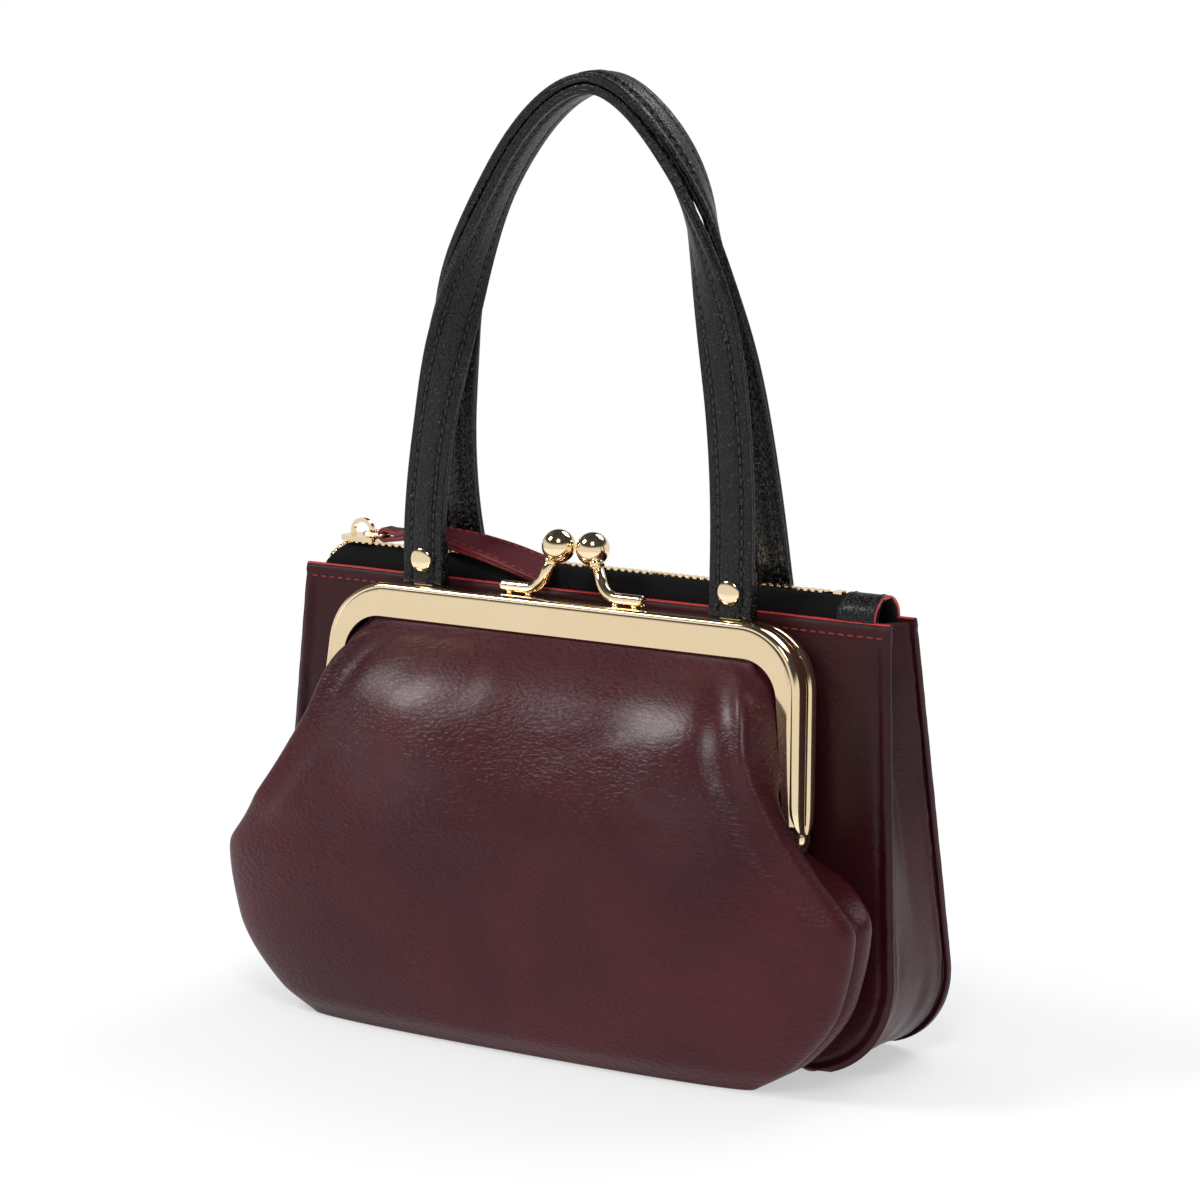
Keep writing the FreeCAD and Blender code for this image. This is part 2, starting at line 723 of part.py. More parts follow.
def panel_outline(length):
    """A panel in its own plane: straight sides that spread downwards, round lower corners."""
    top, base = size("panel_top_half"), size("panel_base_half")
    radii = [size("panel_top_corner"), size("panel_corner"), size("panel_corner"), size("panel_top_corner")]
    return flat_outline([(-top, length), (-base, 0), (base, 0), (top, length)], radii)


def tilted_place(face_y, tilt):
    """Where a panel's outer face stands on the floor gap, leaning by tilt."""
    floor_gap = size("panel_floor_gap")
    return Placement(Vector(0, face_y(floor_gap), floor_gap), Rotation(X_AXIS, -math.degrees(tilt)))


front_place = tilted_place(front_face_y, front_tilt)
back_place = tilted_place(back_face_y, back_tilt)
back_length = panel_rise / math.cos(back_tilt)
rear_rivet_height = back_length - size("rear_rivet_drop")


def make_compartment_panels():
    """The front panel, and the back panel with its two rivet holes."""
    front = new_body("compartment_front_panel", front_place)
    add_pad(front, "front_sheet", "XZ_Plane", panel_outline(panel_rise / math.cos(front_tilt)),
            "sizes.panel_thickness", "-sizes.panel_thickness")
    back = new_body("compartment_back_panel", back_place)
    outline = panel_outline(back_length)
    for side in (-1, 1):
        centre = Vector(side * size("strap_span_half"), rear_rivet_height, 0)
        outline.append(Part.Circle(centre, Z_AXIS, size("rivet_post_radius") + size("seat_gap")))
    add_pad(back, "back_sheet", "XZ_Plane", outline, "sizes.panel_thickness", "0")


def wedge(gap, low_z, high_z):
    """The space between the two panels, kept clear of them by a gap."""
    half = size("panel_base_half")
    points = [(front_inner_y(low_z) + gap, low_z), (front_inner_y(high_z) + gap, high_z),
              (back_inner_y(high_z) - gap, high_z), (back_inner_y(low_z) - gap, low_z)]
    return prism_x(points, -half, half)


def make_gusset():
    """A U-shaped strip between the panels, pleated inwards at both upper sides."""
    thick = size("gusset_thickness")
    inset = size("gusset_inset")
    gap = size("seat_gap")
    pleat_foot = size("panel_height") - size("pleat_height")
    rim = size("panel_height") - size("gusset_top_drop")
    foot_half = panel_half(pleat_foot) - inset
    base_half = panel_half(0) - inset
    corner = size("panel_corner") - inset
    points = [(-foot_half, pleat_foot), (-base_half, 0), (base_half, 0), (foot_half, pleat_foot),
              (foot_half - thick, pleat_foot), (base_half - thick, thick),
              (thick - base_half, thick), (thick - foot_half, pleat_foot)]
    inner = corner - thick
    strip = prism_y(points, [0, corner, corner, 0, 0, inner, inner, 0], front_face_y(0), back_face_y(0))
    shape = strip.common(wedge(gap, 0, pleat_foot))

    def pleat_section(side, z, depth):
        outer = panel_half(z) - inset
        front_y, back_y = front_inner_y(z) + gap, back_inner_y(z) - gap
        middle_y = (front_y + back_y) / 2
        rows = [(outer, front_y), (outer - depth, middle_y), (outer, back_y),
                (outer - thick, back_y), (outer - depth - thick, middle_y), (outer - thick, front_y)]
        return [Vector(side * x, y, z) for x, y in rows]

    for side in (-1, 1):
        sections = [pleat_section(side, pleat_foot, 0), pleat_section(side, rim, size("pleat_depth"))]
        shape = shape.fuse(faceted(sections))
    plain("gusset", shape)


def make_compartment_lining():
    """A cloth bag that hangs inside the compartment, open at the top."""
    half = size("panel_top_half") - size("compartment_lining_inset")
    low = size("gusset_thickness") + size("lining_gap")
    high = size("panel_height") - size("compartment_lining_drop")
    corner = size("panel_corner") - size("gusset_inset") - low
    clear = size("rivet_cap_height") + size("soft_gap")

    def bag(inset, top):
        left, right = -half + inset, half - inset
        points = [(left, top), (left, low + inset), (right, low + inset), (right, top)]
        block = prism_y(points, [0, corner - inset, corner - inset, 0], front_face_y(0), back_face_y(0))
        return block.common(wedge(clear + inset, low + inset, top))

    plain("compartment_lining", bag(0, high).cut(bag(size("lining"), high + size("overrun"))))


# Rear handle
def make_rear_handle():
    """The rear strap, riveted flat to the outside of the back panel."""
    thick = size("strap_thickness")
    lowest = size("panel_height") - size("rear_strap_drop")
    lift = thick / 2 + size("seat_gap")
    feet = []
    for share in FOOT_SHARES:
        z = lowest + size("rear_strap_drop") * share
        feet.append(Vector(-size("strap_span_half"), back_face_y(z) + lift, z))
    apex_y = size("front_apex_y") + size("strap_width") + size("apex_gap")
    sections = strap_sections(back_face_y(size("panel_height")) + lift, apex_y, Y_AXIS, feet)
    strap = faceted(sections)
    for side in (-1, 1):
        start = back_place.multVec(Vector(side * size("strap_span_half"), -thick, rear_rivet_height))
        along = back_place.Rotation.multVec(Y_AXIS)
        hole_radius = size("rivet_post_radius") + size("seat_gap")
        strap = strap.cut(Part.makeCylinder(hole_radius, 3 * thick, start, along))
    plain("rear_handle", strap)


def make_rear_handle_rivets():
    """The rivet through each foot of the rear handle and the back panel."""
    stack = size("panel_thickness") + size("strap_thickness") * math.cos(back_tilt) + size("seat_gap")
    along = back_place.Rotation.multVec(Y_AXIS)
    plain("rear_handle_rivets", both_sides(lambda side: rivet(
        stack, size("rivet_cap_radius"), size("rivet_cap_height"), size("rivet_post_radius"),
        back_place.multVec(
            Vector(side * size("strap_span_half"), -size("panel_thickness"), rear_rivet_height)
        ),
        along)))


# Pouch
front_flange_w = -size("front_depth") + size("frame_wall") + size("soft_gap") + size("leather")
rear_flange_w = size("rear_depth") - size("frame_wall") - size("soft_gap") - size("leather")
hinge_clear_half = lug_inner - size("hinge_head_height") - 2 * size("soft_gap")


def frame_y(z, w):
    """The Y of a point at height z that lies w behind the parting plane of the leaning frame."""
    return size("hinge_y") + w / math.cos(LEAN) + (z - size("hinge_z")) * math.tan(LEAN)


def opening_half(height):
    """Half the width of the frame's opening, round upper corners and tapered legs included."""
    corner = size("frame_inner_corner")
    tip_half = frame_half(leg_end) - size("frame_tip_face")
    top_half = frame_half(opening_top) - size("frame_leg_face")
    share = (height - leg_end) / (opening_top - leg_end)
    half = tip_half + (top_half - tip_half) * share
    over = height - (opening_top - corner)
    if over > 0:
        half -= corner - math.sqrt(corner**2 - over**2)
    return min(half - size("soft_gap"), hinge_clear_half)


def pouch_levels(side):
    """Levels of one half of the pouch: height, seam half width and depth, crease, and middle depth.

    side is -1 for the front half, which swells forwards, and 1 for the rear half, which swells back
    to the compartment's front panel.
    """
    levels = []
    flare, reach = size("pouch_flare_half"), size("pouch_front_reach")
    for row in LOWER_SHARES:
        height, seam, front_crease, rear_crease, seam_y, front_crease_y, front_y, rear_crease_y, rear_y = row
        z = size("pouch_flare_height") * height
        seam_depth = -reach * seam_y
        room = front_face_y(z) - size("soft_gap") - seam_depth
        if side < 0:
            crease, crease_y, middle_y = flare * front_crease, -reach * front_crease_y, -reach * front_y
        else:
            crease, crease_y = flare * rear_crease, seam_depth + room * rear_crease_y
            middle_y = seam_depth + room * rear_y
        step = (flare * seam + crease) / 2, (seam_depth + crease_y) / 2
        start = seam_depth + side * size("seat_gap")
        levels.append((z, flare * seam, start, step, crease, crease_y, middle_y))
    for height, front_crease, front_crease_y, front_y, rear_crease, rear_crease_y, rear_y in UPPER_SHARES:
        above = opening_top * height
        z = size("hinge_z") + above * math.cos(LEAN)
        half = opening_half(above)
        if side < 0:
            start_y = frame_y(z, front_flange_w)
            crease = half * front_crease
            crease_y = start_y - size("pouch_front_bulge") * front_crease_y
            middle_y = start_y - size("pouch_front_bulge") * front_y
            step = half, max(crease_y, frame_y(z, -size("front_depth") - 2 * size("soft_gap")))
        else:
            start_y = frame_y(z, rear_flange_w)
            room = front_face_y(z) - size("soft_gap") - start_y
            crease = half * rear_crease
            crease_y = start_y + room * rear_crease_y
            middle_y = start_y + room * rear_y
            step = half, min(crease_y, frame_y(z, size("rear_depth") + 2 * size("soft_gap")))
            if above < 0:
                step = (half + crease) / 2, (start_y + crease_y) / 2
        levels.append((z, half, start_y - side * size("leather") / 4, step, crease, crease_y, middle_y))
    return levels


def inset_row(row, distance):
    """A row of points moved to its left by a distance, square to each of its stretches."""
    ways = [(after - before).normalize() for before, after in zip(row, row[1:])]
    lefts = [Vector(-way.y, way.x, 0) for way in ways]
    moved = []
    for point, before, after in zip(row, lefts[:1] + lefts, lefts + lefts[-1:]):
        moved.append(point + (before + after) * (distance / (1 + before.dot(after))))
    return moved


def pouch_row(level, side, inset):
    """One level of the pouch, from its right seam round the swollen middle to its left seam."""
    z, seam, start_y, (step_x, step_y), crease, crease_y, middle_y = level
    row = [Vector(seam, start_y, z), Vector(step_x, step_y, z)]
    for share in SWELL_SHARES:
        swell = (1 - share**SWELL_POWER) ** (1 / SWELL_POWER)
        row.append(Vector(crease * share, crease_y + (middle_y - crease_y) * swell, z))
    row = inset_row(row, side * inset)
    row.append(Vector(0, middle_y - side * inset, z))
    row[0].y = start_y
    return row + [Vector(-point.x, point.y, point.z) for point in reversed(row[:-1])]


def pouch_bowl(side, inset, thickness, skip):
    """A wall inside the pouch's outer surface; skip counts the levels left off the top."""
    levels = pouch_levels(side)
    levels = levels[:len(levels) - skip]
    skins = []
    for depth in (inset, inset + thickness):
        floor = (depth,) + levels[0][1:]
        skins.append([pouch_row(level, side, depth) for level in [floor] + levels[1:]])
    return bowl(*skins)


def make_pouch_half(label, side, flange_low_w):
    """The leather of one half: a swollen panel and the flange that the frame's channel holds."""
    leather = size("leather")
    panel = pouch_bowl(side, 0, leather, 0)
    inset = size("frame_rim") + size("soft_gap")
    extra = size("soft_gap") + leather / 2
    ring = frame_ring(inset, size("frame_bar_face") + extra + leather / 2, size("frame_leg_face") + extra,
                      size("frame_tip_face") + extra, size("frame_inner_corner") - extra, above_lugs)
    flange = Part.Face(wire_of(ring)).extrude(Z_AXIS * -leather)
    flange.rotate(ORIGIN, X_AXIS, 90)
    flange.translate(Y_AXIS * flange_low_w)
    flange.Placement = frame_place.multiply(flange.Placement)
    plain(label, panel.fuse(flange))


def make_pouch_lining(label, side):
    """The cloth lining of one half of the pouch, sewn to the leather below the frame."""
    plain(label, pouch_bowl(side, size("leather") + size("lining_gap"), size("lining"), 1))


# Zip
chain_z = size("panel_height") + size("tape_crown")
chain_left = size("tape_half_length") - size("chain_inset")
chain_right = size("tape_half_length") - size("end_tab_length") - size("stop_length")
hem_top = size("panel_height") - size("gusset_top_drop")


def tape_profile(side):
    """A tape's section in (y, z): a straight hem by the panel, then a quarter arch to the chain."""
    thick = size("tape_thickness")
    wall = size("mouth_depth") / 2 - size("panel_thickness") - size("soft_gap") / 2
    edge = size("tape_edge_half")
    low = size("panel_height") - size("tape_hem")
    diagonal = math.sqrt(0.5)

    def at(from_middle, z):
        return Vector(-size("tape_half_length"), mouth_y + side * from_middle, z)

    def arch(start, end_z):
        return at(edge + (start - edge) * diagonal, hem_top + (end_z - hem_top) * diagonal)

    upper, lower = chain_z + thick / 2, chain_z - thick / 2
    outer_foot, outer_spring, outer_end = at(wall, low), at(wall, hem_top), at(edge, upper)
    inner_foot, inner_spring, inner_end = at(wall - thick, low), at(wall - thick, hem_top), at(edge, lower)
    return wire_of([
        Part.LineSegment(outer_foot, outer_spring), Part.Arc(outer_spring, arch(wall, upper), outer_end),
        Part.LineSegment(outer_end, inner_end), Part.Arc(inner_end, arch(wall - thick, lower), inner_spring),
        Part.LineSegment(inner_spring, inner_foot), Part.LineSegment(inner_foot, outer_foot),
    ])


def chain_box(x, length, height, side, reach):
    """A block on the inner edge of one tape, centred on x along the chain."""
    root = mouth_y + side * size("tape_edge_half")
    low_y = min(root, root - side * reach)
    return Part.makeBox(length, reach, height, Vector(x - length / 2, low_y, chain_z - height / 2))


def make_zip_side(label, side, stagger):
    """One tape with its row of teeth."""
    tape = Part.Face(tape_profile(side)).extrude(X_AXIS * (2 * size("tape_half_length")))
    plain("zip_tape_" + label, tape)
    pitch = size("tooth_pitch")
    count = int((chain_left + chain_right) / pitch)
    reach = size("tape_edge_half") + size("tooth_overlap")
    teeth = []
    for index in range(count):
        x = -chain_left + (index + stagger) * pitch
        teeth.append(chain_box(x, size("tooth_length"), size("tooth_height"), side, reach))
    plain("zip_teeth_" + label, Part.makeCompound(teeth))


def make_zip_stops():
    """Two top stops at the closed end, and the block that ends the chain."""
    stop_x = size("top_stop_inset") - size("tape_half_length")
    stops = [chain_box(stop_x, size("stop_length") / 2, size("stop_height"), side, size("stop_reach"))
             for side in (-1, 1)]
    plain("zip_top_stops", Part.makeCompound(stops))
    x = chain_right + size("stop_length") / 2
    stop = chain_box(x, size("stop_length"), size("stop_height"), 1, 2 * size("tape_edge_half"))
    plain("zip_bottom_stop", stop)


def make_zip_end_tab():
    """The leather tab that arches over both tapes at the open end."""
    low_x = size("tape_half_length") - size("end_tab_length")
    foot = size("panel_height") + size("soft_gap")
    inner_half = size("mouth_depth") / 2 - size("panel_thickness") + size("end_tab_overlap")
    inner_top = chain_z + size("tape_thickness") / 2 + size("soft_gap")
    thick = size("end_tab_thickness")

    def at(y, z):
        return Vector(low_x, mouth_y + y, z)

    outer = inner_half + thick
    path = [
        Part.LineSegment(at(inner_half, foot), at(outer, foot)),
        Part.Arc(at(outer, foot), at(0, inner_top + thick), at(-outer, foot)),
        Part.LineSegment(at(-outer, foot), at(-inner_half, foot)),
        Part.Arc(at(-inner_half, foot), at(0, inner_top), at(inner_half, foot)),
    ]
    plain("zip_end_tab", Part.Face(wire_of(path)).extrude(X_AXIS * size("end_tab_length")))


plate_low = size("tooth_height") / 2 + size("slider_gap")
plate_high = plate_low + size("slider_plate")
slider_x = size("slider_inset") - size("tape_half_length")
slider_place = Placement(Vector(slider_x, mouth_y, chain_z), Rotation())


def rectangle(length, width, corner, middle_x=0):
    """A rounded rectangle in a sketch's own plane."""
    low, high, half = middle_x - length / 2, middle_x + length / 2, width / 2
    return flat_outline([(low, -half), (high, -half), (high, half), (low, half)], [corner] * 4)


def make_zip_slider():
    """Two plates above and below the chain, the post that joins them, and the bail for the link."""
    body = new_body("zip_slider", slider_place)
    length, corner = size("slider_length"), size("slider_corner")
    plate_offset = "sizes.tooth_height / 2 + sizes.slider_gap"
    top_plate = rectangle(length, size("slider_width"), corner)
    base_plate = rectangle(length, size("slider_base_width"), corner)
    post_x = size("slider_post_inset") + (size("slider_post_length") - length) / 2
    post = rectangle(size("slider_post_length"), size("slider_post_width"), 0, post_x)
    add_pad(body, "top_plate", "XY_Plane", top_plate, "sizes.slider_plate", plate_offset)
    add_pad(body, "post", "XY_Plane", post, "2 * (%s)" % plate_offset, "-(%s)" % plate_offset)
    base_offset = "-(%s) - sizes.slider_plate" % plate_offset
    add_pad(body, "base_plate", "XY_Plane", base_plate, "sizes.slider_plate", base_offset)
    half, wall = size("bail_length") / 2, size("bail_thickness")
    inner = half - wall
    crown = plate_high + size("bail_opening")
    round_in = size("bail_corner")
    round_out = round_in + wall
    points = [(-half, plate_high), (-half, crown + wall), (half, crown + wall), (half, plate_high),
              (inner, plate_high), (inner, crown), (-inner, crown), (-inner, plate_high)]
    bail = flat_outline(points, [0, round_out, round_out, 0, 0, round_in, round_in, 0])
    add_pad(body, "bail", "XZ_Plane", bail, "sizes.bail_width", "-sizes.bail_width / 2")


# Pull
link_place = slider_place.multVec(Vector(size("link_start"), 0, plate_high + size("link_lift")))
eye_place = link_place + X_AXIS * size("link_length")


def make_pull_link():
    """A flat oval link through the slider's bail."""
    half = size("link_half_width")
    far = size("link_length")
    corners = [link_place + Vector(x, y, 0) for x, y in ((0, -half), (far, -half), (far, half), (0, half))]
    start = (corners[0] + corners[1]) / 2
    radii = [0] + [size("link_corner")] * 4 + [0]
    path = rounded_path([start] + corners[1:] + corners[:1] + [start], radii, False)
    plain("pull_link", round_bar(path, size("link_wire")))


def pull_section(shares):
    """The pull's rectangle at one place, rolled towards the front as it lies down over the zip."""
    length, drift, drop, roll = shares
    reach = Vector(size("pull_length") * length, -size("pull_drift") * drift, -size("pull_drop") * drop)
    middle = eye_place + reach
    angle = math.radians(size("pull_roll_degrees")) * roll
    wide = Vector(0, math.cos(angle), math.sin(angle)) * (size("pull_width") / 2)
    thick = Vector(0, -math.sin(angle), math.cos(angle)) * size("pull_leaf")
    return [middle - wide - thick, middle + wide - thick, middle + wide + thick, middle - wide + thick]


def make_pull_tab():
    """The leather pull: a narrow eye folded round the link, then two leaves sewn together."""
    leaf = size("pull_leaf")
    bore = size("link_wire") + size("pull_eye_gap")
    width = 2 * (size("link_half_width") - size("link_corner"))
    start = eye_place - Y_AXIS * (width / 2)
    neck_length = size("pull_length") * PULL_SHARES[0][0]
    neck = Part.makeBox(neck_length, width, 2 * leaf, start - Z_AXIS * leaf)
    eye = Part.makeCylinder(bore + leaf, width, start, Y_AXIS).fuse(neck)
    leaves = faceted([pull_section(shares) for shares in PULL_SHARES])
    hole = Part.makeCylinder(bore, width, start, Y_AXIS)
    plain("pull_tab", eye.fuse(leaves).cut(hole).removeSplitter())


make_front_frame()
make_rear_frame()
make_hinge_rivets()
front_cord_w = half_gap + size("frame_wall") + size("soft_gap") + size("front_cord_radius")
rear_cord_w = half_gap + size("frame_wall") + size("soft_gap") / 2 + size("rear_cord_radius")
make_frame_cord("front_frame_cord", -front_cord_w, size("front_cord_radius"))
make_frame_cord("rear_frame_cord", rear_cord_w, size("rear_cord_radius"))
make_clasp("front", 1, front_flat_w, size("ball_cross"))
make_clasp("rear", -1, rear_flat_w, -size("ball_cross"))
make_handle_eyes()
make_handle_pins()
make_front_handle()
make_front_handle_rivets()
make_rear_handle()
make_rear_handle_rivets()
make_pouch_half("pouch_front_panel", -1, front_flange_w - size("leather"))
make_pouch_half("pouch_rear_panel", 1, rear_flange_w)
make_pouch_lining("pouch_front_lining", -1)
make_pouch_lining("pouch_rear_lining", 1)
make_compartment_panels()
make_gusset()
make_compartment_lining()
make_zip_side("front", -1, 0)
make_zip_side("rear", 1, 0.5)
make_zip_stops()
make_zip_end_tab()
make_zip_slider()
make_pull_link()
make_pull_tab()
doc.recompute()

for obj in doc.Objects:
    if "Invalid" in obj.State or "Error" in obj.State:
        raise RuntimeError("%s did not build: %s" % (obj.Label, obj.State))
for obj in nodes:
    if obj.Shape.isNull() or not obj.Shape.isValid() or obj.Shape.Volume <= 0:
        raise RuntimeError("%s has no valid shape" % obj.Label)

os.makedirs("parts", exist_ok=True)
for obj in nodes:
    obj.Shape.exportStep("parts/%s.step" % obj.Label)
    print("%-26s solids %3d  volume %9.1f mm3" % (obj.Label, len(obj.Shape.Solids), obj.Shape.Volume))
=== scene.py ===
"""Looks of a kiss lock frame purse with a zipped compartment behind it and two handles."""
import math

import bpy
import numpy as np
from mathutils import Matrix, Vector


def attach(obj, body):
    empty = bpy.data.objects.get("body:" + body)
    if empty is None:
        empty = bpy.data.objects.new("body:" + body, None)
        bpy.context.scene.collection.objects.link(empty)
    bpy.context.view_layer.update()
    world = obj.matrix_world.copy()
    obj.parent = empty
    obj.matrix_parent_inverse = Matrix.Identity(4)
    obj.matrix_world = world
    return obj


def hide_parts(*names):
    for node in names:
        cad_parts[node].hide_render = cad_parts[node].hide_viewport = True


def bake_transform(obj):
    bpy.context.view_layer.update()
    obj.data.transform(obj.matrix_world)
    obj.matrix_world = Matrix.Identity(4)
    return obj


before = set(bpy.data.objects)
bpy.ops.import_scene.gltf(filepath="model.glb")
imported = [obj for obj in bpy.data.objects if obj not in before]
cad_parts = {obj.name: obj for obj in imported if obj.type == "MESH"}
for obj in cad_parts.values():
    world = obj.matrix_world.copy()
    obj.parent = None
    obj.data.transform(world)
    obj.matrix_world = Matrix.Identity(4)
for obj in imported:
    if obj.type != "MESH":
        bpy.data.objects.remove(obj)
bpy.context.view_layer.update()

MM = 0.001

# Sizes in millimetres, in the frame's own directions: X right, Y back, Z up
LEAN = math.radians(7.5)
HINGE_Y, HINGE_Z = -8.0, 75.0
FRAME_TOP, FRAME_TOP_HALF, FRAME_FOOT_HALF, FRAME_CORNER = 64.0, 85.6, 89.8, 21.0
TIP_FACE, LEG_FACE, INNER_CORNER = 3.4, 7.4, 13.0
OPENING_TOP, OPENING_LIMIT, LEG_END = 53.2, 84.2, 4.35
FRONT_FLANGE, REAR_FLANGE = -5.15, 2.75
FRONT_DEPTH, REAR_DEPTH = 8.0, 5.6
LEATHER, SOFT_GAP, TUCK_REACH, SWELL = 1.4, 0.35, 84.0, 2.4
FLARE_HALF, FLARE_HEIGHT = 116.5, 52.0
FRONT_REACH, FRONT_BULGE = 41.5, 30.0
PANEL_HEIGHT, PANEL_TOP_HALF, PANEL_BASE_HALF = 140.0, 109.0, 117.5
PANEL_CORNER, PANEL_THICKNESS, FLOOR_GAP = 32.0, 2.0, 1.5
FRONT_PANEL_Y, FRONT_PANEL_SLOPE = -0.4, 0.0614
BACK_PANEL_Y, BACK_PANEL_SLOPE = 41.5, 0.1164
MOUTH_Y, CHAIN_Z = 16.7, 146.4
TAPE_HALF_LENGTH, TAPE_BASE, END_DROP = 103.4, 139.0, 0.62
TAB_LENGTH, TAB_Z, TAB_RADIUS, TAB_RISE = 13.0, 140.3, 8.25, 7.45
STRAP_WIDTH, STRAP_THICKNESS, FOLD_THICKNESS, SPAN_HALF = 15.0, 3.0, 4.4, 57.4
PIN_Y, PIN_Z = 2.683, 141.777
FOLD_TOP, HANDLE_RISE = PIN_Z - FOLD_THICKNESS / 2 + 13.6, 147.8
RIVET_RADIUS, REAR_RIVET_Z = 3.9, 116.2
PULL_EYE = np.array([-82.5, MOUTH_Y, 150.5])


# Curves and grids
def cubic(at, knots, values):
    """Cubic pieces through rows of values; a knot's slope is a weighted harmonic mean of the slopes
    beside it, and zero where these differ in sign, so the curve never overshoots."""
    knots, values = np.asarray(knots, float), np.asarray(values, float)
    steps = np.diff(knots)[:, None]
    runs = np.diff(values, axis=0) / steps
    before, after = runs[:-1], runs[1:]
    near, far = 2 * steps[1:] + steps[:-1], steps[1:] + 2 * steps[:-1]
    safe = np.where(before * after > 0, before, 1), np.where(before * after > 0, after, 1)
    inner = np.where(before * after > 0, (near + far) / (near / safe[0] + far / safe[1]), 0)
    slopes = np.concatenate([runs[:1], inner, runs[-1:]])
    i = np.clip(np.searchsorted(knots, at) - 1, 0, len(steps) - 1)
    h = steps[i]
    t = (np.asarray(at) - knots[i])[:, None] / h
    start = (1 + 2 * t) * (1 - t) ** 2 * values[i] + t * (1 - t) ** 2 * h * slopes[i]
    return start + t * t * (3 - 2 * t) * values[i + 1] - t * t * (1 - t) * h * slopes[i + 1]


def distances(points):
    """How far along a polyline each of its points is."""
    return np.concatenate([[0], np.cumsum(np.linalg.norm(np.diff(points, axis=0), axis=1))])


def picked(values, along, at):
    """Rows of values at distances along a polyline."""
    return np.stack([np.interp(at, along, column) for column in values.T], -1)


def evenly(points, count):
    """Points at equal distances along a polyline."""
    along = distances(points)
    return picked(points, along, np.linspace(0, along[-1], count))


def mirrored(half):
    """A line of (x, value) that ends at the middle, with its mirror image after it."""
    return np.concatenate([half, (half * (-1, 1))[-2::-1]])


def circle(count, side, up):
    """Points of a unit circle between two directions at right angles."""
    angle = np.arange(count) * math.tau / count
    return np.cos(angle)[:, None] * side + np.sin(angle)[:, None] * up


def bell(x, centre, width):
    """1 at the centre, falling off as the exponential of minus the squared distance in widths."""
    return np.exp(-((x - centre) / width) ** 2)


def softened(values, width, axis=0):
    """Values averaged along one axis with a bell of that width in samples; the ends stay put."""
    reach = int(3 * width) + 1
    weights = np.exp(-0.5 * (np.arange(-reach, reach + 1) / width) ** 2)
    values = np.moveaxis(np.asarray(values, float), axis, 0)
    first, last = values[:1], values[-1:]
    padded = np.concatenate([2 * first - values[reach:0:-1], values, 2 * last - values[-2:-reach - 2:-1]])
    total = sum(weight * padded[i:i + len(values)] for i, weight in enumerate(weights / weights.sum()))
    return np.moveaxis(total, 0, axis)


def unit(vectors):
    """Vectors scaled to length one."""
    return vectors / np.maximum(np.linalg.norm(vectors, axis=-1, keepdims=True), 1e-12)


def smoothstep(low, high, x):
    """0 below low, 1 above high and a smooth rise between them."""
    t = np.clip((np.asarray(x, float) - low) / (high - low), 0, 1)
    return t * t * (3 - 2 * t)


def lattice_noise(u, v, seed):
    """Smooth noise from 0 to 1: random values on a unit lattice, blended by smoothstep."""
    table = np.random.RandomState(seed).rand(64, 64)
    i, j = np.floor(u).astype(int), np.floor(v).astype(int)
    a, b = smoothstep(0, 1, u - i), smoothstep(0, 1, v - j)
    low = table[i % 64, j % 64] * (1 - a) + table[(i + 1) % 64, j % 64] * a
    high = table[i % 64, (j + 1) % 64] * (1 - a) + table[(i + 1) % 64, (j + 1) % 64] * a
    return low * (1 - b) + high * b


def grid_normals(points):
    """Unit normals of a grid of points."""
    return unit(np.cross(np.gradient(points, axis=1), np.gradient(points, axis=0)))


def runs_inwards(rings):
    """Whether closed rings turn about their path so that the faces between them look inwards."""
    middle = rings.mean(1)
    spokes = rings - middle[:, None]
    areas = np.cross(spokes, np.roll(spokes, -1, 1)).sum(1)
    return np.sum(areas * np.gradient(middle, axis=0)) < 0


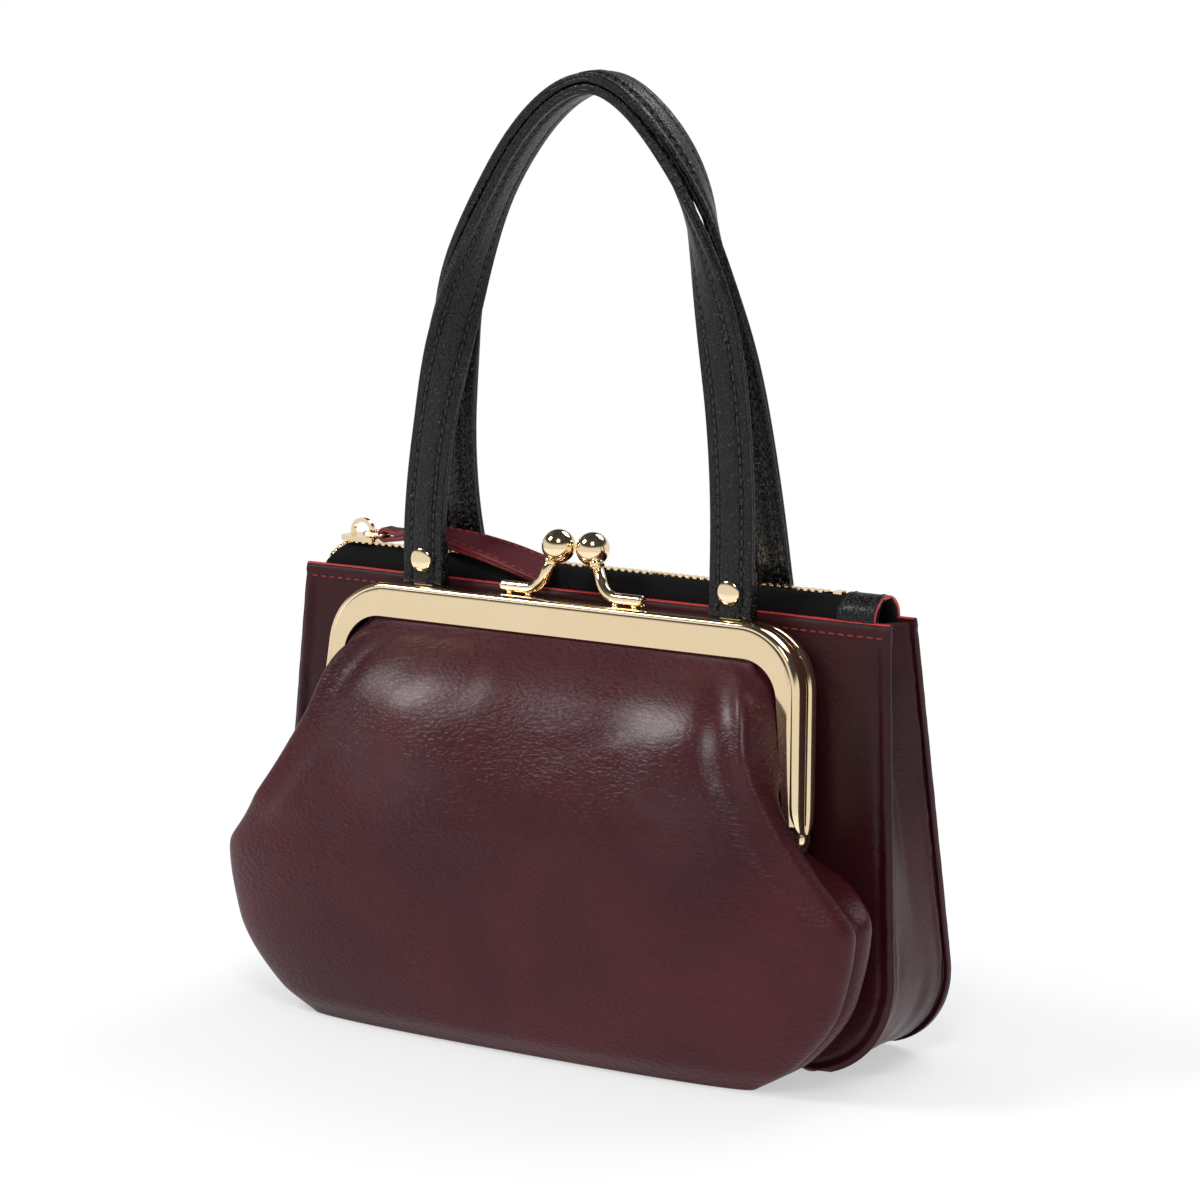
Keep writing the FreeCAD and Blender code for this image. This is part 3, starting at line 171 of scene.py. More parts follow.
class Shape:
    """Points and faces of one piece, gathered from several grids."""

    def __init__(self):
        self.points, self.faces, self.slots, self.count = [], [], [], 0

    def grid(self, points, slot=0, closed=False, flip=False):
        """Quads of a grid of points; a closed grid's last column meets its first, flip turns the faces over
        and slot is a material's number, or one number for each face."""
        rows, columns = points.shape[:2]
        i, j = np.meshgrid(np.arange(rows - 1), np.arange(columns - (not closed)), indexing="ij")
        after = (j + 1) % columns
        corners = [i * columns + j, i * columns + after, (i + 1) * columns + after, (i + 1) * columns + j]
        faces = np.stack(corners[::-1] if flip else corners, -1).reshape(-1, 4) + self.count
        self.points.append(points.reshape(-1, 3))
        self.faces += faces.tolist()
        self.slots += list(np.broadcast_to(slot, len(faces)))
        self.count += rows * columns
        return self

    def tube(self, points, slot=0):
        """Closed rings along a path with flat ends, facing outwards; slot can be one number per column."""
        rows, columns = points.shape[:2]
        flip = runs_inwards(points)
        base = self.count
        slots = np.tile(np.broadcast_to(slot, columns), rows - 1)
        self.grid(points, slots, True, flip)
        last = base + (rows - 1) * columns
        for end in (range(base, base + columns)[::-1], range(last, last + columns)):
            self.faces.append(list(end[::-1] if flip else end))
            self.slots.append(int(np.broadcast_to(slot, columns)[0]))
        return self

    def piece(self, name, materials, slot_name, nodes=(), body="bag", thickness=0, rim_slot=0):
        """The finished object, shaded smooth, that stands for some CAD nodes; a sheet's thickness lies
        behind its face."""
        mesh = bpy.data.meshes.new(name)
        mesh.from_pydata((np.concatenate(self.points) * MM).tolist(), [], self.faces)
        for material in materials:
            mesh.materials.append(material)
        mesh.polygons.foreach_set("material_index", np.asarray(self.slots, np.int32))
        mesh.polygons.foreach_set("use_smooth", np.ones(len(self.faces), bool))
        mesh.update()
        item = bpy.data.objects.new(name, mesh)
        bpy.context.scene.collection.objects.link(item)
        if body:
            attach(item, body)
        if nodes:
            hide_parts(*nodes)
        if thickness:
            solid = item.modifiers.new("thickness", "SOLIDIFY")
            solid.thickness, solid.offset, solid.material_offset_rim = thickness * MM, -1, rim_slot
        return item


def stitches(shape, places, along, normals, length, width):
    """Short rounded threads on a surface: at each place four rings of six points, closed at both ends."""
    steps = np.array([-0.5, -0.32, 0.32, 0.5])[:, None, None] * length
    radii = np.array([0.4, 1.0, 1.0, 0.4])[:, None, None] * width
    along, normals = (unit(np.broadcast_to(way, places.shape)) for way in (along, normals))
    for place, way, side, up in zip(places, along, np.cross(along, normals), normals):
        shape.tube(place + steps * way + radii * circle(6, side, up))
    return shape


# Materials
def operator(operation, swapped=False):
    """A method that adds the Math node of one arithmetic sign."""
    def method(self, other):
        first, second = (other, self) if swapped else (self, other)
        return self.graph.node("ShaderNodeMath", {"operation": operation}, {0: first, 1: second})
    return method


class Socket:
    """An output of a node; arithmetic on it adds Math nodes."""

    def __init__(self, graph, out):
        self.graph, self.out = graph, out

    __add__, __radd__ = operator("ADD"), operator("ADD", True)
    __sub__, __rsub__ = operator("SUBTRACT"), operator("SUBTRACT", True)
    __mul__, __rmul__ = operator("MULTIPLY"), operator("MULTIPLY", True)
    __truediv__, __pow__ = operator("DIVIDE"), operator("POWER")


class Graph:
    """The nodes of a new material around its Principled shader, or those of a new world."""

    def __init__(self, name, world=False):
        self.owner = (bpy.data.worlds if world else bpy.data.materials).new(name)
        self.owner.use_nodes = True
        self.tree = self.owner.node_tree

    def feed(self, socket, value):
        """Links a Socket, or sets a constant."""
        if isinstance(value, Socket):
            self.tree.links.new(value.out, socket)
        else:
            socket.default_value = value

    def node(self, kind, settings, sockets, output=0):
        """Any node: its settings, then its inputs by name or number."""
        item = self.tree.nodes.new(kind)
        for key, value in settings.items():
            setattr(item, key, value)
        for key, value in sockets.items():
            self.feed(item.inputs[key], value)
        return Socket(self, item.outputs[output])

    def place(self, turn=(0, 0, 0), scale=(1, 1, 1)):
        """Object coordinates, turned and scaled."""
        place = self.node("ShaderNodeTexCoord", {}, {}, "Object")
        sockets = {"Vector": place, "Rotation": turn, "Scale": scale}
        return self.node("ShaderNodeMapping", {"vector_type": "POINT"}, sockets)

    def noise(self, vector, scale, detail, distortion=0.0):
        """Smooth noise with about scale blots to the metre."""
        sockets = {"Vector": vector, "Scale": scale, "Detail": detail, "Distortion": distortion}
        return self.node("ShaderNodeTexNoise", {}, sockets, "Fac")

    def cells(self, vector, scale, feature="DISTANCE_TO_EDGE"):
        """Distances in a pattern of cells, from their edges or from their middles."""
        sockets = {"Vector": vector, "Scale": scale}
        return self.node("ShaderNodeTexVoronoi", {"feature": feature}, sockets, "Distance")

    def ramp(self, value, low, high):
        """0 at low, 1 at high, smooth between."""
        settings = {"interpolation_type": "SMOOTHSTEP"}
        return self.node("ShaderNodeMapRange", settings, {"Value": value, "From Min": low, "From Max": high})

    def colour(self, factor, first, second):
        """A mix of two colours."""
        sockets = {"Factor": factor, 6: first, 7: second}
        return self.node("ShaderNodeMix", {"data_type": "RGBA"}, sockets, 2)

    def axis(self, letter, source="Object"):
        """One of the coordinates X, Y and Z, which for an object are in metres."""
        place = self.node("ShaderNodeTexCoord", {}, {}, source)
        return self.node("ShaderNodeSeparateXYZ", {}, {"Vector": place}, letter)

    def bump(self, height, distance, strength):
        """A normal tilted by the slope of a height."""
        return self.node("ShaderNodeBump", {}, {"Height": height, "Distance": distance, "Strength": strength})

    def set(self, **values):
        """Inputs of the shader, by their names with underscores."""
        for key, value in values.items():
            self.feed(self.tree.nodes["Principled BSDF"].inputs[key.replace("_", " ")], value)
        return self.owner


def rgb(red, green, blue):
    """A colour given as it looks on a screen, from 0 to 255."""
    linear = [((v / 255 + 0.055) / 1.055) ** 2.4 if v > 10 else v / 255 / 12.92 for v in (red, green, blue)]
    return (*linear, 1.0)


def burgundy_leather(name, wrinkle=1.0, shine=0.33, dark=rgb(57, 14, 21), light=rgb(76, 22, 30)):
    """Waxed leather: fine drawn-out grain on a slant, faint pores, cloudy colour and patches of polish."""
    g = Graph(name)
    warp = g.noise(g.place(), 70.0, 3.0)
    slant = g.place((0, math.radians(-58), 0), (1.0, 1.0, 2.0))
    sockets = {0: slant, 1: (1, 1, 1), 2: warp * 0.011}
    lean = g.node("ShaderNodeVectorMath", {"operation": "MULTIPLY_ADD"}, sockets)
    pebble = g.ramp(g.cells(lean, 620.0, "SMOOTH_F1"), 0.15, 0.75)
    crackle = g.ramp(g.cells(lean, 300.0), 0.0, 0.12)
    fine = g.noise(g.place(), 1700.0, 3.0)
    folds = g.noise(lean, 130.0, 4.0, 0.6)
    x, z = g.axis("X"), g.axis("Z")
    patch = g.ramp(g.noise(g.place(), 24.0, 1.0), 0.3, 0.7)
    amount = (0.65 + 0.35 * g.ramp(z, 0.02, 0.1)) * (0.5 + 0.5 * patch) * wrinkle
    relief = (folds + crackle * 0.22 - pebble * 0.75) * amount + fine * 0.1
    cloud = g.noise(g.place(), 18.0, 4.0, 0.4)
    colour = g.colour(g.ramp(cloud, 0.3, 0.75), dark, light)
    colour = g.colour((1 - crackle) * amount * 0.45, colour, rgb(36, 8, 13))
    left = g.ramp(((x + 0.042) / 0.028) ** 2 + ((z - 0.104) / 0.03) ** 2, 1.6, 0.0)
    right = g.ramp(((x - 0.062) / 0.026) ** 2 + ((z - 0.108) / 0.034) ** 2, 1.6, 0.0)
    polish = (left + right) * wrinkle
    rough = shine + 0.08 * fine + 0.1 * cloud - 0.06 * polish + 0.2 * g.ramp(z, 0.111, 0.124)
    normal = g.bump(relief, 0.0004, 0.7)
    return g.set(Base_Color=colour, Roughness=rough, Normal=normal, Coat_Weight=0.03 + 0.36 * polish,
                 Coat_Roughness=0.3, Specular_IOR_Level=0.24)


def black_leather(name):
    """Embossed black leather: short winding ridges, slightly worn to grey on top."""
    g = Graph(name)
    ridges = g.ramp(g.noise(g.place((0, 0, 0), (1.0, 1.0, 0.7)), 950.0, 1.0), 0.42, 0.6)
    broad = g.noise(g.place(), 160.0, 2.0)
    colour = g.colour(ridges * 0.5 + broad * 0.3, rgb(4, 4, 5), rgb(12, 12, 13))
    normal = g.bump(ridges, 0.0004, 0.9)
    return g.set(Base_Color=colour, Roughness=0.3 + 0.12 * broad, Normal=normal, Specular_IOR_Level=0.4)


def gold_metal(name):
    """Polished pale gold plate with a faint cloud and hairline marks."""
    g = Graph(name)
    cloud = g.noise(g.place(), 60.0, 3.0)
    hair = g.noise(g.place((0, 0, 0.2), (1, 1, 14)), 420.0, 2.0)
    colour = g.colour(cloud, rgb(250, 222, 178), rgb(255, 235, 200))
    normal = g.bump(hair, 0.00002, 0.12)
    return g.set(Base_Color=colour, Metallic=1.0, Roughness=0.07 + 0.07 * cloud, Normal=normal)


def edge_paint(name, dark, light):
    """Paint on cut leather edges, a little uneven."""
    g = Graph(name)
    uneven = g.noise(g.place(), 380.0, 3.0)
    colour = g.colour(uneven, dark, light)
    return g.set(Base_Color=colour, Roughness=0.35 + 0.2 * uneven, Normal=g.bump(uneven, 0.0003, 0.5))


def thread(name, dark, light):
    """Twisted sewing thread."""
    g = Graph(name)
    twist = g.noise(g.place((0.4, 0.7, 0.2), (1, 1, 4)), 2400.0, 2.0)
    return g.set(Base_Color=g.colour(twist, dark, light), Roughness=0.55 + 0.2 * twist,
                 Normal=g.bump(twist, 0.0002, 0.6))


def woven(name, dark, light, scale):
    """Twill: fine slanted ribs with a crossing thread."""
    g = Graph(name)
    rib = g.node("ShaderNodeTexWave", {"bands_direction": "DIAGONAL"},
                 {"Vector": g.place(), "Scale": scale, "Distortion": 0.6, "Detail": 1.0}, "Fac")
    fuzz = g.noise(g.place(), 1800.0, 2.0)
    return g.set(Base_Color=g.colour(rib * 0.7 + fuzz * 0.3, dark, light), Roughness=0.7 + 0.2 * fuzz,
                 Normal=g.bump(rib + fuzz * 0.4, 0.0002, 0.6), Specular_IOR_Level=0.15)


BURGUNDY = burgundy_leather("burgundy_leather")
# Painted shade: the same burgundy leather with darker colours for the compartment panels and the gusset,
# standing in for the shade they lie in.
SHADED_PANEL_BURGUNDY = burgundy_leather("burgundy_panel_leather_painted_shade", 0.45, 0.28, rgb(44, 13, 17), rgb(60, 19, 24))
PULL_BURGUNDY = burgundy_leather("burgundy_pull_leather", 0.4, 0.3, rgb(72, 18, 26), rgb(92, 26, 34))
BLACK = black_leather("black_leather")
GOLD = gold_metal("pale_gold")
RED_EDGE = edge_paint("red_edge_paint", rgb(158, 26, 30), rgb(204, 58, 54))
WINE_EDGE = edge_paint("wine_edge_paint", rgb(92, 20, 27), rgb(132, 36, 42))
RED_THREAD = thread("red_thread", rgb(96, 14, 20), rgb(150, 34, 38))
BLACK_THREAD = thread("black_thread", rgb(18, 18, 19), rgb(56, 56, 58))
TWILL = woven("black_zip_twill", rgb(5, 5, 6), rgb(18, 18, 20), 420.0)
LINING = woven("lining_twill", rgb(38, 18, 20), rgb(66, 34, 36), 300.0)
PAPER_CORD = woven("paper_cord", rgb(120, 104, 80), rgb(176, 156, 122), 500.0)


# Purse body
def frame_y(z, depth):
    """Depth in front of or behind the frame's leaning middle plane, as Y at a height."""
    return HINGE_Y + depth / math.cos(LEAN) + (z - HINGE_Z) * math.tan(LEAN)


def frame_half(up):
    """Half the width of the frame's outline at a distance up from the hinge."""
    return FRAME_FOOT_HALF + (FRAME_TOP_HALF - FRAME_FOOT_HALF) * up / FRAME_TOP


def opening_half(up):
    """Half the width of the frame's opening at a distance up from the hinge, round at the upper corners."""
    low, high = frame_half(LEG_END) - TIP_FACE, frame_half(OPENING_TOP) - LEG_FACE
    half = low + (high - low) * (up - LEG_END) / (OPENING_TOP - LEG_END)
    over = min(max(up - (OPENING_TOP - INNER_CORNER), 0), INNER_CORNER)
    return min(half - INNER_CORNER + math.sqrt(INNER_CORNER**2 - over**2) - SOFT_GAP, OPENING_LIMIT)


def face_y(side, z):
    """Outer face of the compartment's front panel, side -1, or of its back panel, side 1."""
    return FRONT_PANEL_Y + FRONT_PANEL_SLOPE * z if side < 0 else BACK_PANEL_Y - BACK_PANEL_SLOPE * z


# Below the hinges: height, half width and depth of the seam, then for the front and for the rear half
# the half width and the depth of its crease and the depth of its middle
LOWER_SHARES = (
    (0.0, 0.704, 0.506, (0.712, 0.592, 0.747), (0.712, 0.28, 0.5)),
    (0.154, 0.815, 0.506, (0.824, 0.592, 0.9), (0.824, 0.28, 0.85)),
    (0.577, 0.957, 0.494, (0.966, 0.582, 0.988), (0.964, 0.24, 0.99)),
    (1.0, 0.991, 0.482, (1.0, 0.572, 1.0), (0.997, 0.25, 1.0)),
    (1.2, 0.85, 0.37, (0.94, 0.57, 0.995), (0.9, 0.5, 1.0)),
)
# In the frame: height and tuck, then the same three for each half
UPPER_SHARES = (
    (-0.09, -0.012, (1.22, 0.39, 0.92), (1.03, 0.45, 1.0)),
    (0.2, 0.01, (1.085, 0.47, 0.93), (0.97, 0.6, 0.98)),
    (0.5, 0.03, (0.995, 0.51, 0.82), (0.96, 0.55, 0.9)),
    (0.74, 0.03, (0.965, 0.44, 0.6), (0.955, 0.56, 0.76)),
    (0.9, 0.03, (0.94, 0.25, 0.32), (0.96, 0.57, 0.67)),
    (0.98, 0.03, (0.94, 0.07, 0.095), (0.95, 0.3, 0.38)),
    (1.03, 0.03, (0.95, 0.03, 0.04), (0.95, 0.15, 0.19)),
)


def pouch_rows(side):
    """Rows of one half of the pouch: height, tuck, seam, start, lip, step (x, y), crease (x, y), middle."""
    rows = []
    for height, seam, seam_y, *halves in LOWER_SHARES:
        z, seam_x, start = FLARE_HEIGHT * height, FLARE_HALF * seam, -FRONT_REACH * seam_y
        base, reach = (0, -FRONT_REACH) if side < 0 else (start, face_y(-1, z) - SOFT_GAP - start)
        crease, crease_y, middle = halves[side > 0]
        crease, crease_y, middle = FLARE_HALF * crease, base + reach * crease_y, base + reach * middle
        rows.append((z, seam_x - 2.6, seam_x, start + side * 0.15, side * 1.1,
                     (seam_x + crease) / 2, (start + crease_y) / 2, crease, crease_y, middle))
    for height, tuck, *halves in UPPER_SHARES:
        up = OPENING_TOP * height
        z = HINGE_Z + up * math.cos(LEAN)
        half = opening_half(min(up, 0.98 * OPENING_TOP))
        start = frame_y(z, FRONT_FLANGE if side < 0 else REAR_FLANGE)
        reach = -FRONT_BULGE if side < 0 else face_y(-1, z) - SOFT_GAP - start
        crease, crease_y, middle = halves[side > 0]
        crease, crease_y, middle = half * crease, start + reach * crease_y, start + reach * middle
        wall = frame_y(z, -FRONT_DEPTH - 0.7 if side < 0 else REAR_DEPTH + 0.7)
        step_x, step_y = half, max(crease_y, wall) if side < 0 else min(crease_y, wall)
        if side > 0 and up < 0:
            step_x, step_y = (half + crease) / 2, (start + crease_y) / 2
        rows.append((z, half + tuck * TUCK_REACH, half, start, 0.0, step_x, step_y, crease, crease_y, middle))
    return np.array(rows)


def pouch_surface(side, count=150, columns=361):
    """One half of the pouch as a grid: rows from the floor up, columns from seam to seam.

    Each row runs from the tucked edge over the step and the rounded crease into a swell
    |x/crease|^SWELL + |y/depth|^SWELL = 1, mirrored at the middle and then softened.
    """
    rows = pouch_rows(side)
    heights = np.concatenate([np.linspace(0, 8, 16)[:-1], np.linspace(8, rows[-1, 0], count)])
    values = cubic(heights, rows[:, 0], rows[:, 1:])
    angle = np.linspace(0, math.pi / 2, 28)
    share_x, share_y = np.cos(angle) ** (2 / SWELL), np.sin(angle) ** (2 / SWELL)
    grid = []
    for z, (tuck, seam, start, lip, step_x, step_y, crease, crease_y, middle) in zip(heights, values):
        line = [(tuck, start), (seam, start + lip), (step_x, step_y)]
        line += list(zip(crease * share_x, crease_y + (middle - crease_y) * share_y))
        line = evenly(mirrored(np.array(line)), columns)
        grid.append(np.column_stack([line, np.full(columns, z)]))
    grid = np.array(grid)
    grid = softened(grid, 1.9, 1)
    return np.concatenate([grid[:1], softened(grid, 1.6, 0)[1:]])


def add_floor(grid):
    """Rows under a half of the pouch, from its seam line out to its lowest row."""
    low = grid[0]
    shares = np.array([0.0, 0.35, 0.7])[:, None, None]
    side = np.sign(low[len(low) // 2, 1] - low[0, 1])
    seam = low * (1, 0, 1) + (0, low[0, 1] - side * 0.8, 0)
    whole = np.concatenate([seam + (low - seam) * shares, grid])
    fold = int(np.argmax(np.abs(low[:len(low) // 2, 0]))) + 1
    for flange in (whole[:, :fold], whole[:, -fold:]):
        flange[..., 2] = np.maximum(flange[..., 2], 1.6)
    return whole


def leather_relief(grid):
    """Broad gathers below the frame's bar and shallow dents: noise drawn out on a slant, in millimetres."""
    x, z = grid[..., 0], grid[..., 2]
    slant, across = 0.8 * x + 0.6 * z, -0.6 * x + 0.8 * z
    warp = 3 * lattice_noise(x / 30, z / 30, 3)
    gathers = lattice_noise(slant / 26 + warp, across / 9 + warp, 5) - 0.5
    dents = lattice_noise(x / 45 + 7, z / 38, 9) - 0.5
    left = 2.4 * bell(x, -42, 20) * bell(z, 100, 18)
    right = 2.4 * bell(x, 63, 18) * bell(z, 103, 18)
    hollow = 2.6 * bell(x, 6, 24) * bell(z, 106, 24)
    return gathers * 0.6 * smoothstep(45, 95, z) + dents * 1.2 * smoothstep(4, 30, z) + left + right - hollow


def shoulder_roll(grid):
    """A rounded ridge along the front crease with a shallow valley inside it, in millimetres."""
    rows = pouch_rows(-1)
    crease = cubic(grid[:, 0, 2], rows[:, 0], rows[:, 7:8])
    inside = crease - np.abs(grid[..., 0])
    ridge = 1.3 * bell(inside, 2.0, 2.4) - 1.2 * bell(inside, 9.5, 4.5)
    return ridge * smoothstep(56, 72, grid[..., 2]) * smoothstep(127, 117, grid[..., 2])


def make_pouch():
    """Front and rear leather of the purse with their linings."""
    for label, side, body in (("front", -1, None), ("rear", 1, "bag")):
        outer = pouch_surface(side)
        normals = grid_normals(outer)
        normals = normals * np.sign(np.sum(normals * (0, side, 0)))
        column = np.arange(outer.shape[1])
        edge = np.minimum(column, column[::-1])
        keep = smoothstep(12, 60, edge)[None, :] * smoothstep(129, 118, outer[..., 2])
        relief = leather_relief(outer) * keep + shoulder_roll(outer) if side < 0 else 0 * keep
        leather = Shape().grid(add_floor(outer + normals * relief[..., None]), flip=side < 0)
        leather = leather.piece("pouch_%s_leather" % label, [BURGUNDY], "burgundy_leather",
                                ["pouch_%s_panel" % label], body, LEATHER)
        inside = (outer - normals * (LEATHER + 0.9))[2:-14, 8:-8]
        cut = add_floor(inside)[::2, ::3]
        lining = Shape().grid(cut, flip=side > 0)
        lining = lining.piece("pouch_%s_lining_cloth" % label, [LINING], "lining_cloth",
                              ["pouch_%s_lining" % label], body)
        if body is None:
            for item in (leather, lining):
                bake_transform(item)


# Zipped compartment
HEM = 4.0


def panel_half(z):
    """Half the width of the compartment's panels, round at the lower corners."""
    z = np.asarray(z, float)
    half = PANEL_BASE_HALF + (PANEL_TOP_HALF - PANEL_BASE_HALF) * z / PANEL_HEIGHT
    under = np.clip(PANEL_CORNER - z, 0, PANEL_CORNER)
    return half - PANEL_CORNER + np.sqrt(PANEL_CORNER**2 - under**2)


def panel_surface(side):
    """A panel from its base to its top hem: x = s half(z), swelling at the side rolls and the hem."""
    s = np.sin(np.linspace(-1, 1, 141) * math.pi / 2)
    t = np.linspace(0, 1, 101)
    z = FLOOR_GAP + (PANEL_HEIGHT - FLOOR_GAP) * (0.35 * t * t + 0.65 * t)
    half = panel_half(z)[:, None]
    x = half * s
    height = np.broadcast_to(z[:, None], x.shape)
    slope = np.gradient(half, z, axis=0)
    from_side, from_top = (half - np.abs(x)) / np.sqrt(1 + slope**2), PANEL_HEIGHT - height
    roll = 0.9 * bell(from_side, 1.9, 1.3) - 0.5 * bell(from_side, 4.6, 0.9)
    hem = 0.35 * bell(from_top, 1.8, 1.4) - 0.3 * bell(from_top, HEM, 0.5)
    swell = 2.2 * np.sin(math.pi * t)[:, None] ** 1.5 * (1 - s**2) * (side > 0)
    dents = (lattice_noise(x / 32 + 3, height / 30, 21) - 0.5) * 0.9 * smoothstep(2, 18, from_side)
    wrinkles = (lattice_noise(height / 2.7, x / 8 + 40, 31) - 0.5) * 0.55 * bell(from_side, 3.5, 3.6)
    lift = (roll + wrinkles) * smoothstep(2, 9, from_top) + hem + swell + dents
    return np.stack([x, face_y(side, height) + side * lift, height], -1)


def make_compartment():
    """Panels, their red top edges and stitching, the pleated gusset and the lining."""
    for label, side in (("front", -1), ("back", 1)):
        outer = panel_surface(side)
        panel = Shape().grid(outer, flip=side > 0)
        panel.piece("compartment_%s_leather" % label, [SHADED_PANEL_BURGUNDY], "burgundy_leather",
                    ["compartment_%s_panel" % label], thickness=PANEL_THICKNESS)
        top = outer[-1]
        angle = np.linspace(0, math.pi, 9)
        profile = np.stack([0 * angle, np.cos(angle) * 1.06, np.sin(angle) * 0.5 - 0.12], -1)
        middle = top - np.array([0, side * (PANEL_THICKNESS / 2 + 0.05), 0])
        bead = Shape().grid(middle[:, None] + profile)
        bead.grid(middle[:, None] + profile * (0, 1, -0.3), flip=True)
        bead.piece("compartment_%s_edge" % label, [RED_EDGE], "burgundy_leather")
        x = np.arange(-105.5, 106, 3.3)
        hem = outer[np.argmin(np.abs(outer[:, 0, 2] - (PANEL_HEIGHT - HEM)))]
        y = np.interp(x, hem[:, 0], hem[:, 1]) + side * 0.12
        rows = np.stack([x, y, np.full(len(x), PANEL_HEIGHT - HEM)], -1)
        sewn = stitches(Shape(), rows, (1, 0, 0), (0, side, 0), 2.3, 0.4)
        sewn.piece("compartment_%s_stitches" % label, [RED_THREAD], "burgundy_leather")
    make_gusset()
    make_compartment_lining()


def make_gusset():
    """A strip from rim to rim round the base, folded inwards in a V that opens towards the top."""
    inset, rim, foot, pleat = 1.5, 139.0, 36.0, 11.0
    down = np.linspace(rim, PANEL_CORNER, 70)
    corner = PANEL_CORNER - inset
    turn = np.linspace(0, math.pi / 2, 24)[1:]
    centre = panel_half(PANEL_CORNER) - inset - corner
    side = np.column_stack([panel_half(down) - inset, down])
    bend = np.column_stack([centre + corner * np.cos(turn), PANEL_CORNER - corner * np.sin(turn) - 1.0])
    right = np.concatenate([side, bend, np.column_stack([np.linspace(centre, 0, 20)[1:], np.full(19, 0.6)])])
    path = softened(mirrored(right), 1.2)
    way = unit(np.gradient(path, axis=0))
    inward = np.column_stack([way[:, 1], -way[:, 0]])
    across = np.linspace(0, 1, 41)
    ridge = 1 - np.sqrt((2 * across - 1) ** 2 + 0.006)
    depth = pleat * np.clip((path[:, 1] - foot) / (rim - foot), 0, 1) ** 1.1
    roll = 0.5 * bell(across, 0.06, 0.04) + 0.5 * bell(across, 0.94, 0.04)
    length = distances(path)[:, None]
    near_rim = bell(np.minimum(across, 1 - across), 0, 0.16)
    wrinkles = (lattice_noise(length / 3.4, across[None] * 9, 33) - 0.5) * 0.55 * near_rim
    dents = (lattice_noise(length / 17, across[None] * 5 + 11, 35) - 0.5) * 1.6 * np.sin(math.pi * across)
    dents = dents * smoothstep(150, 120, np.abs(length - length[-1] / 2))
    move = depth[:, None] * ridge - roll + wrinkles + dents
    x = path[:, :1] + inward[:, :1] * move
    z = np.maximum(path[:, 1:] + inward[:, 1:] * move, 0.2)
    front, back = face_y(-1, z) + PANEL_THICKNESS + 0.1, face_y(1, z) - PANEL_THICKNESS - 0.1
    grid = np.stack([x, front + (back - front) * across, z], -1)
    strip = Shape().grid(grid, flip=True)
    strip.piece("pleated_gusset", [SHADED_PANEL_BURGUNDY], "burgundy_leather", ["gusset"], thickness=1.4)


def make_compartment_lining():
    """A cloth trough inside the compartment: down the front, round the base and up the back."""
    top, foot, half, inset, sag = 131, 12, 92, 5.2, 8
    z = np.linspace(top, foot, 40)
    bend = np.linspace(0, math.pi, 18)[1:-1]
    front, back = face_y(-1, z) + inset, face_y(1, z) - inset
    radius, middle = (back[-1] - front[-1]) / 2, (back[-1] + front[-1]) / 2
    base = np.column_stack([middle - radius * np.cos(bend), foot - sag * np.sin(bend)])
    path = np.concatenate([np.column_stack([front, z]), base, np.column_stack([back, z])[::-1]])
    grid = np.stack(np.broadcast_arrays(np.linspace(-half, half, 60), path[:, :1], path[:, 1:]), -1)
    cloth = Shape().grid(grid)
    cloth = cloth.piece("compartment_lining_cloth", [LINING], "lining_cloth", ["compartment_lining"],
                        thickness=0.5)


# Zip
def tape_height(height, x):
    """Height at x of what stands that high on the zip's straight length; its closed end rounds down."""
    drop = np.clip((-96.0 - x) / 7.4, 0, 1) ** 1.7
    return TAPE_BASE + (height - TAPE_BASE) * (1 - END_DROP * drop)


def make_end_teeth():
    """The last teeth beyond the slider, splayed down the rounded end of both tapes, and the two top stops."""
    teeth = Shape()
    x = np.array([-98.2, -100.2, -101.8, -102.9, -103.5])
    z = tape_height(CHAIN_Z, x) + np.array([0.2, 0.1, 0, 0, -0.4])
    turn = np.radians([-10, -24, -42, -60, -72])
    corners = np.array([(-1, -1), (1, -1), (1, 1), (-1, 1)])
    for side in (-1, 1):
        for place_x, place_z, angle, length in zip(x, z, turn, (1.5, 1.5, 1.5, 1.5, 2.2)):
            along = np.array([math.cos(angle), 0, -math.sin(angle)])
            up = np.array([math.sin(angle), 0, math.cos(angle)])
            middle = np.array([place_x, MOUTH_Y + side * 1.35, place_z])
            section = corners[:, :1] * (0, 1, 0) + corners[:, 1:] * up
            teeth.tube(np.array([middle + along * step * length / 2 + section for step in (-1, 1)]))
    teeth.piece("zip_end_teeth", [GOLD], "gold_metal", ["zip_top_stops"])


def tab_arch(along, turn):
    """Points of the end tab at places along the zip and angles from its crown."""
    along, turn = np.broadcast_arrays(along, turn)
    return np.stack([along, MOUTH_Y + TAB_RADIUS * np.sin(turn), TAB_Z + TAB_RISE * np.cos(turn)], -1)


def make_end_tab():
    """The leather tab over the open end of the tapes, with a row of stitches near each edge."""
    along = np.linspace(TAPE_HALF_LENGTH - TAB_LENGTH, TAPE_HALF_LENGTH, 16)
    tab = Shape().grid(tab_arch(along[:, None], np.radians(np.linspace(-90, 90, 49))), flip=True)
    tab.piece("zip_end_tab_leather", [BLACK, RED_EDGE], "black_leather", ["zip_end_tab"], "bag", 1.2, 1)
    turn = np.radians(np.arange(-70, 71, 20))
    rows = tab_arch(np.array([[TAPE_HALF_LENGTH - 11.5], [TAPE_HALF_LENGTH - 2]]), turn).reshape(-1, 3)
    normal = np.tile(np.stack([0 * turn, np.sin(turn), np.cos(turn)], -1), (2, 1))
    sewn = stitches(Shape(), rows, np.cross((1, 0, 0), normal), normal, 2.2, 0.25)
    sewn.piece("zip_end_tab_stitches", [BLACK_THREAD], "black_leather")


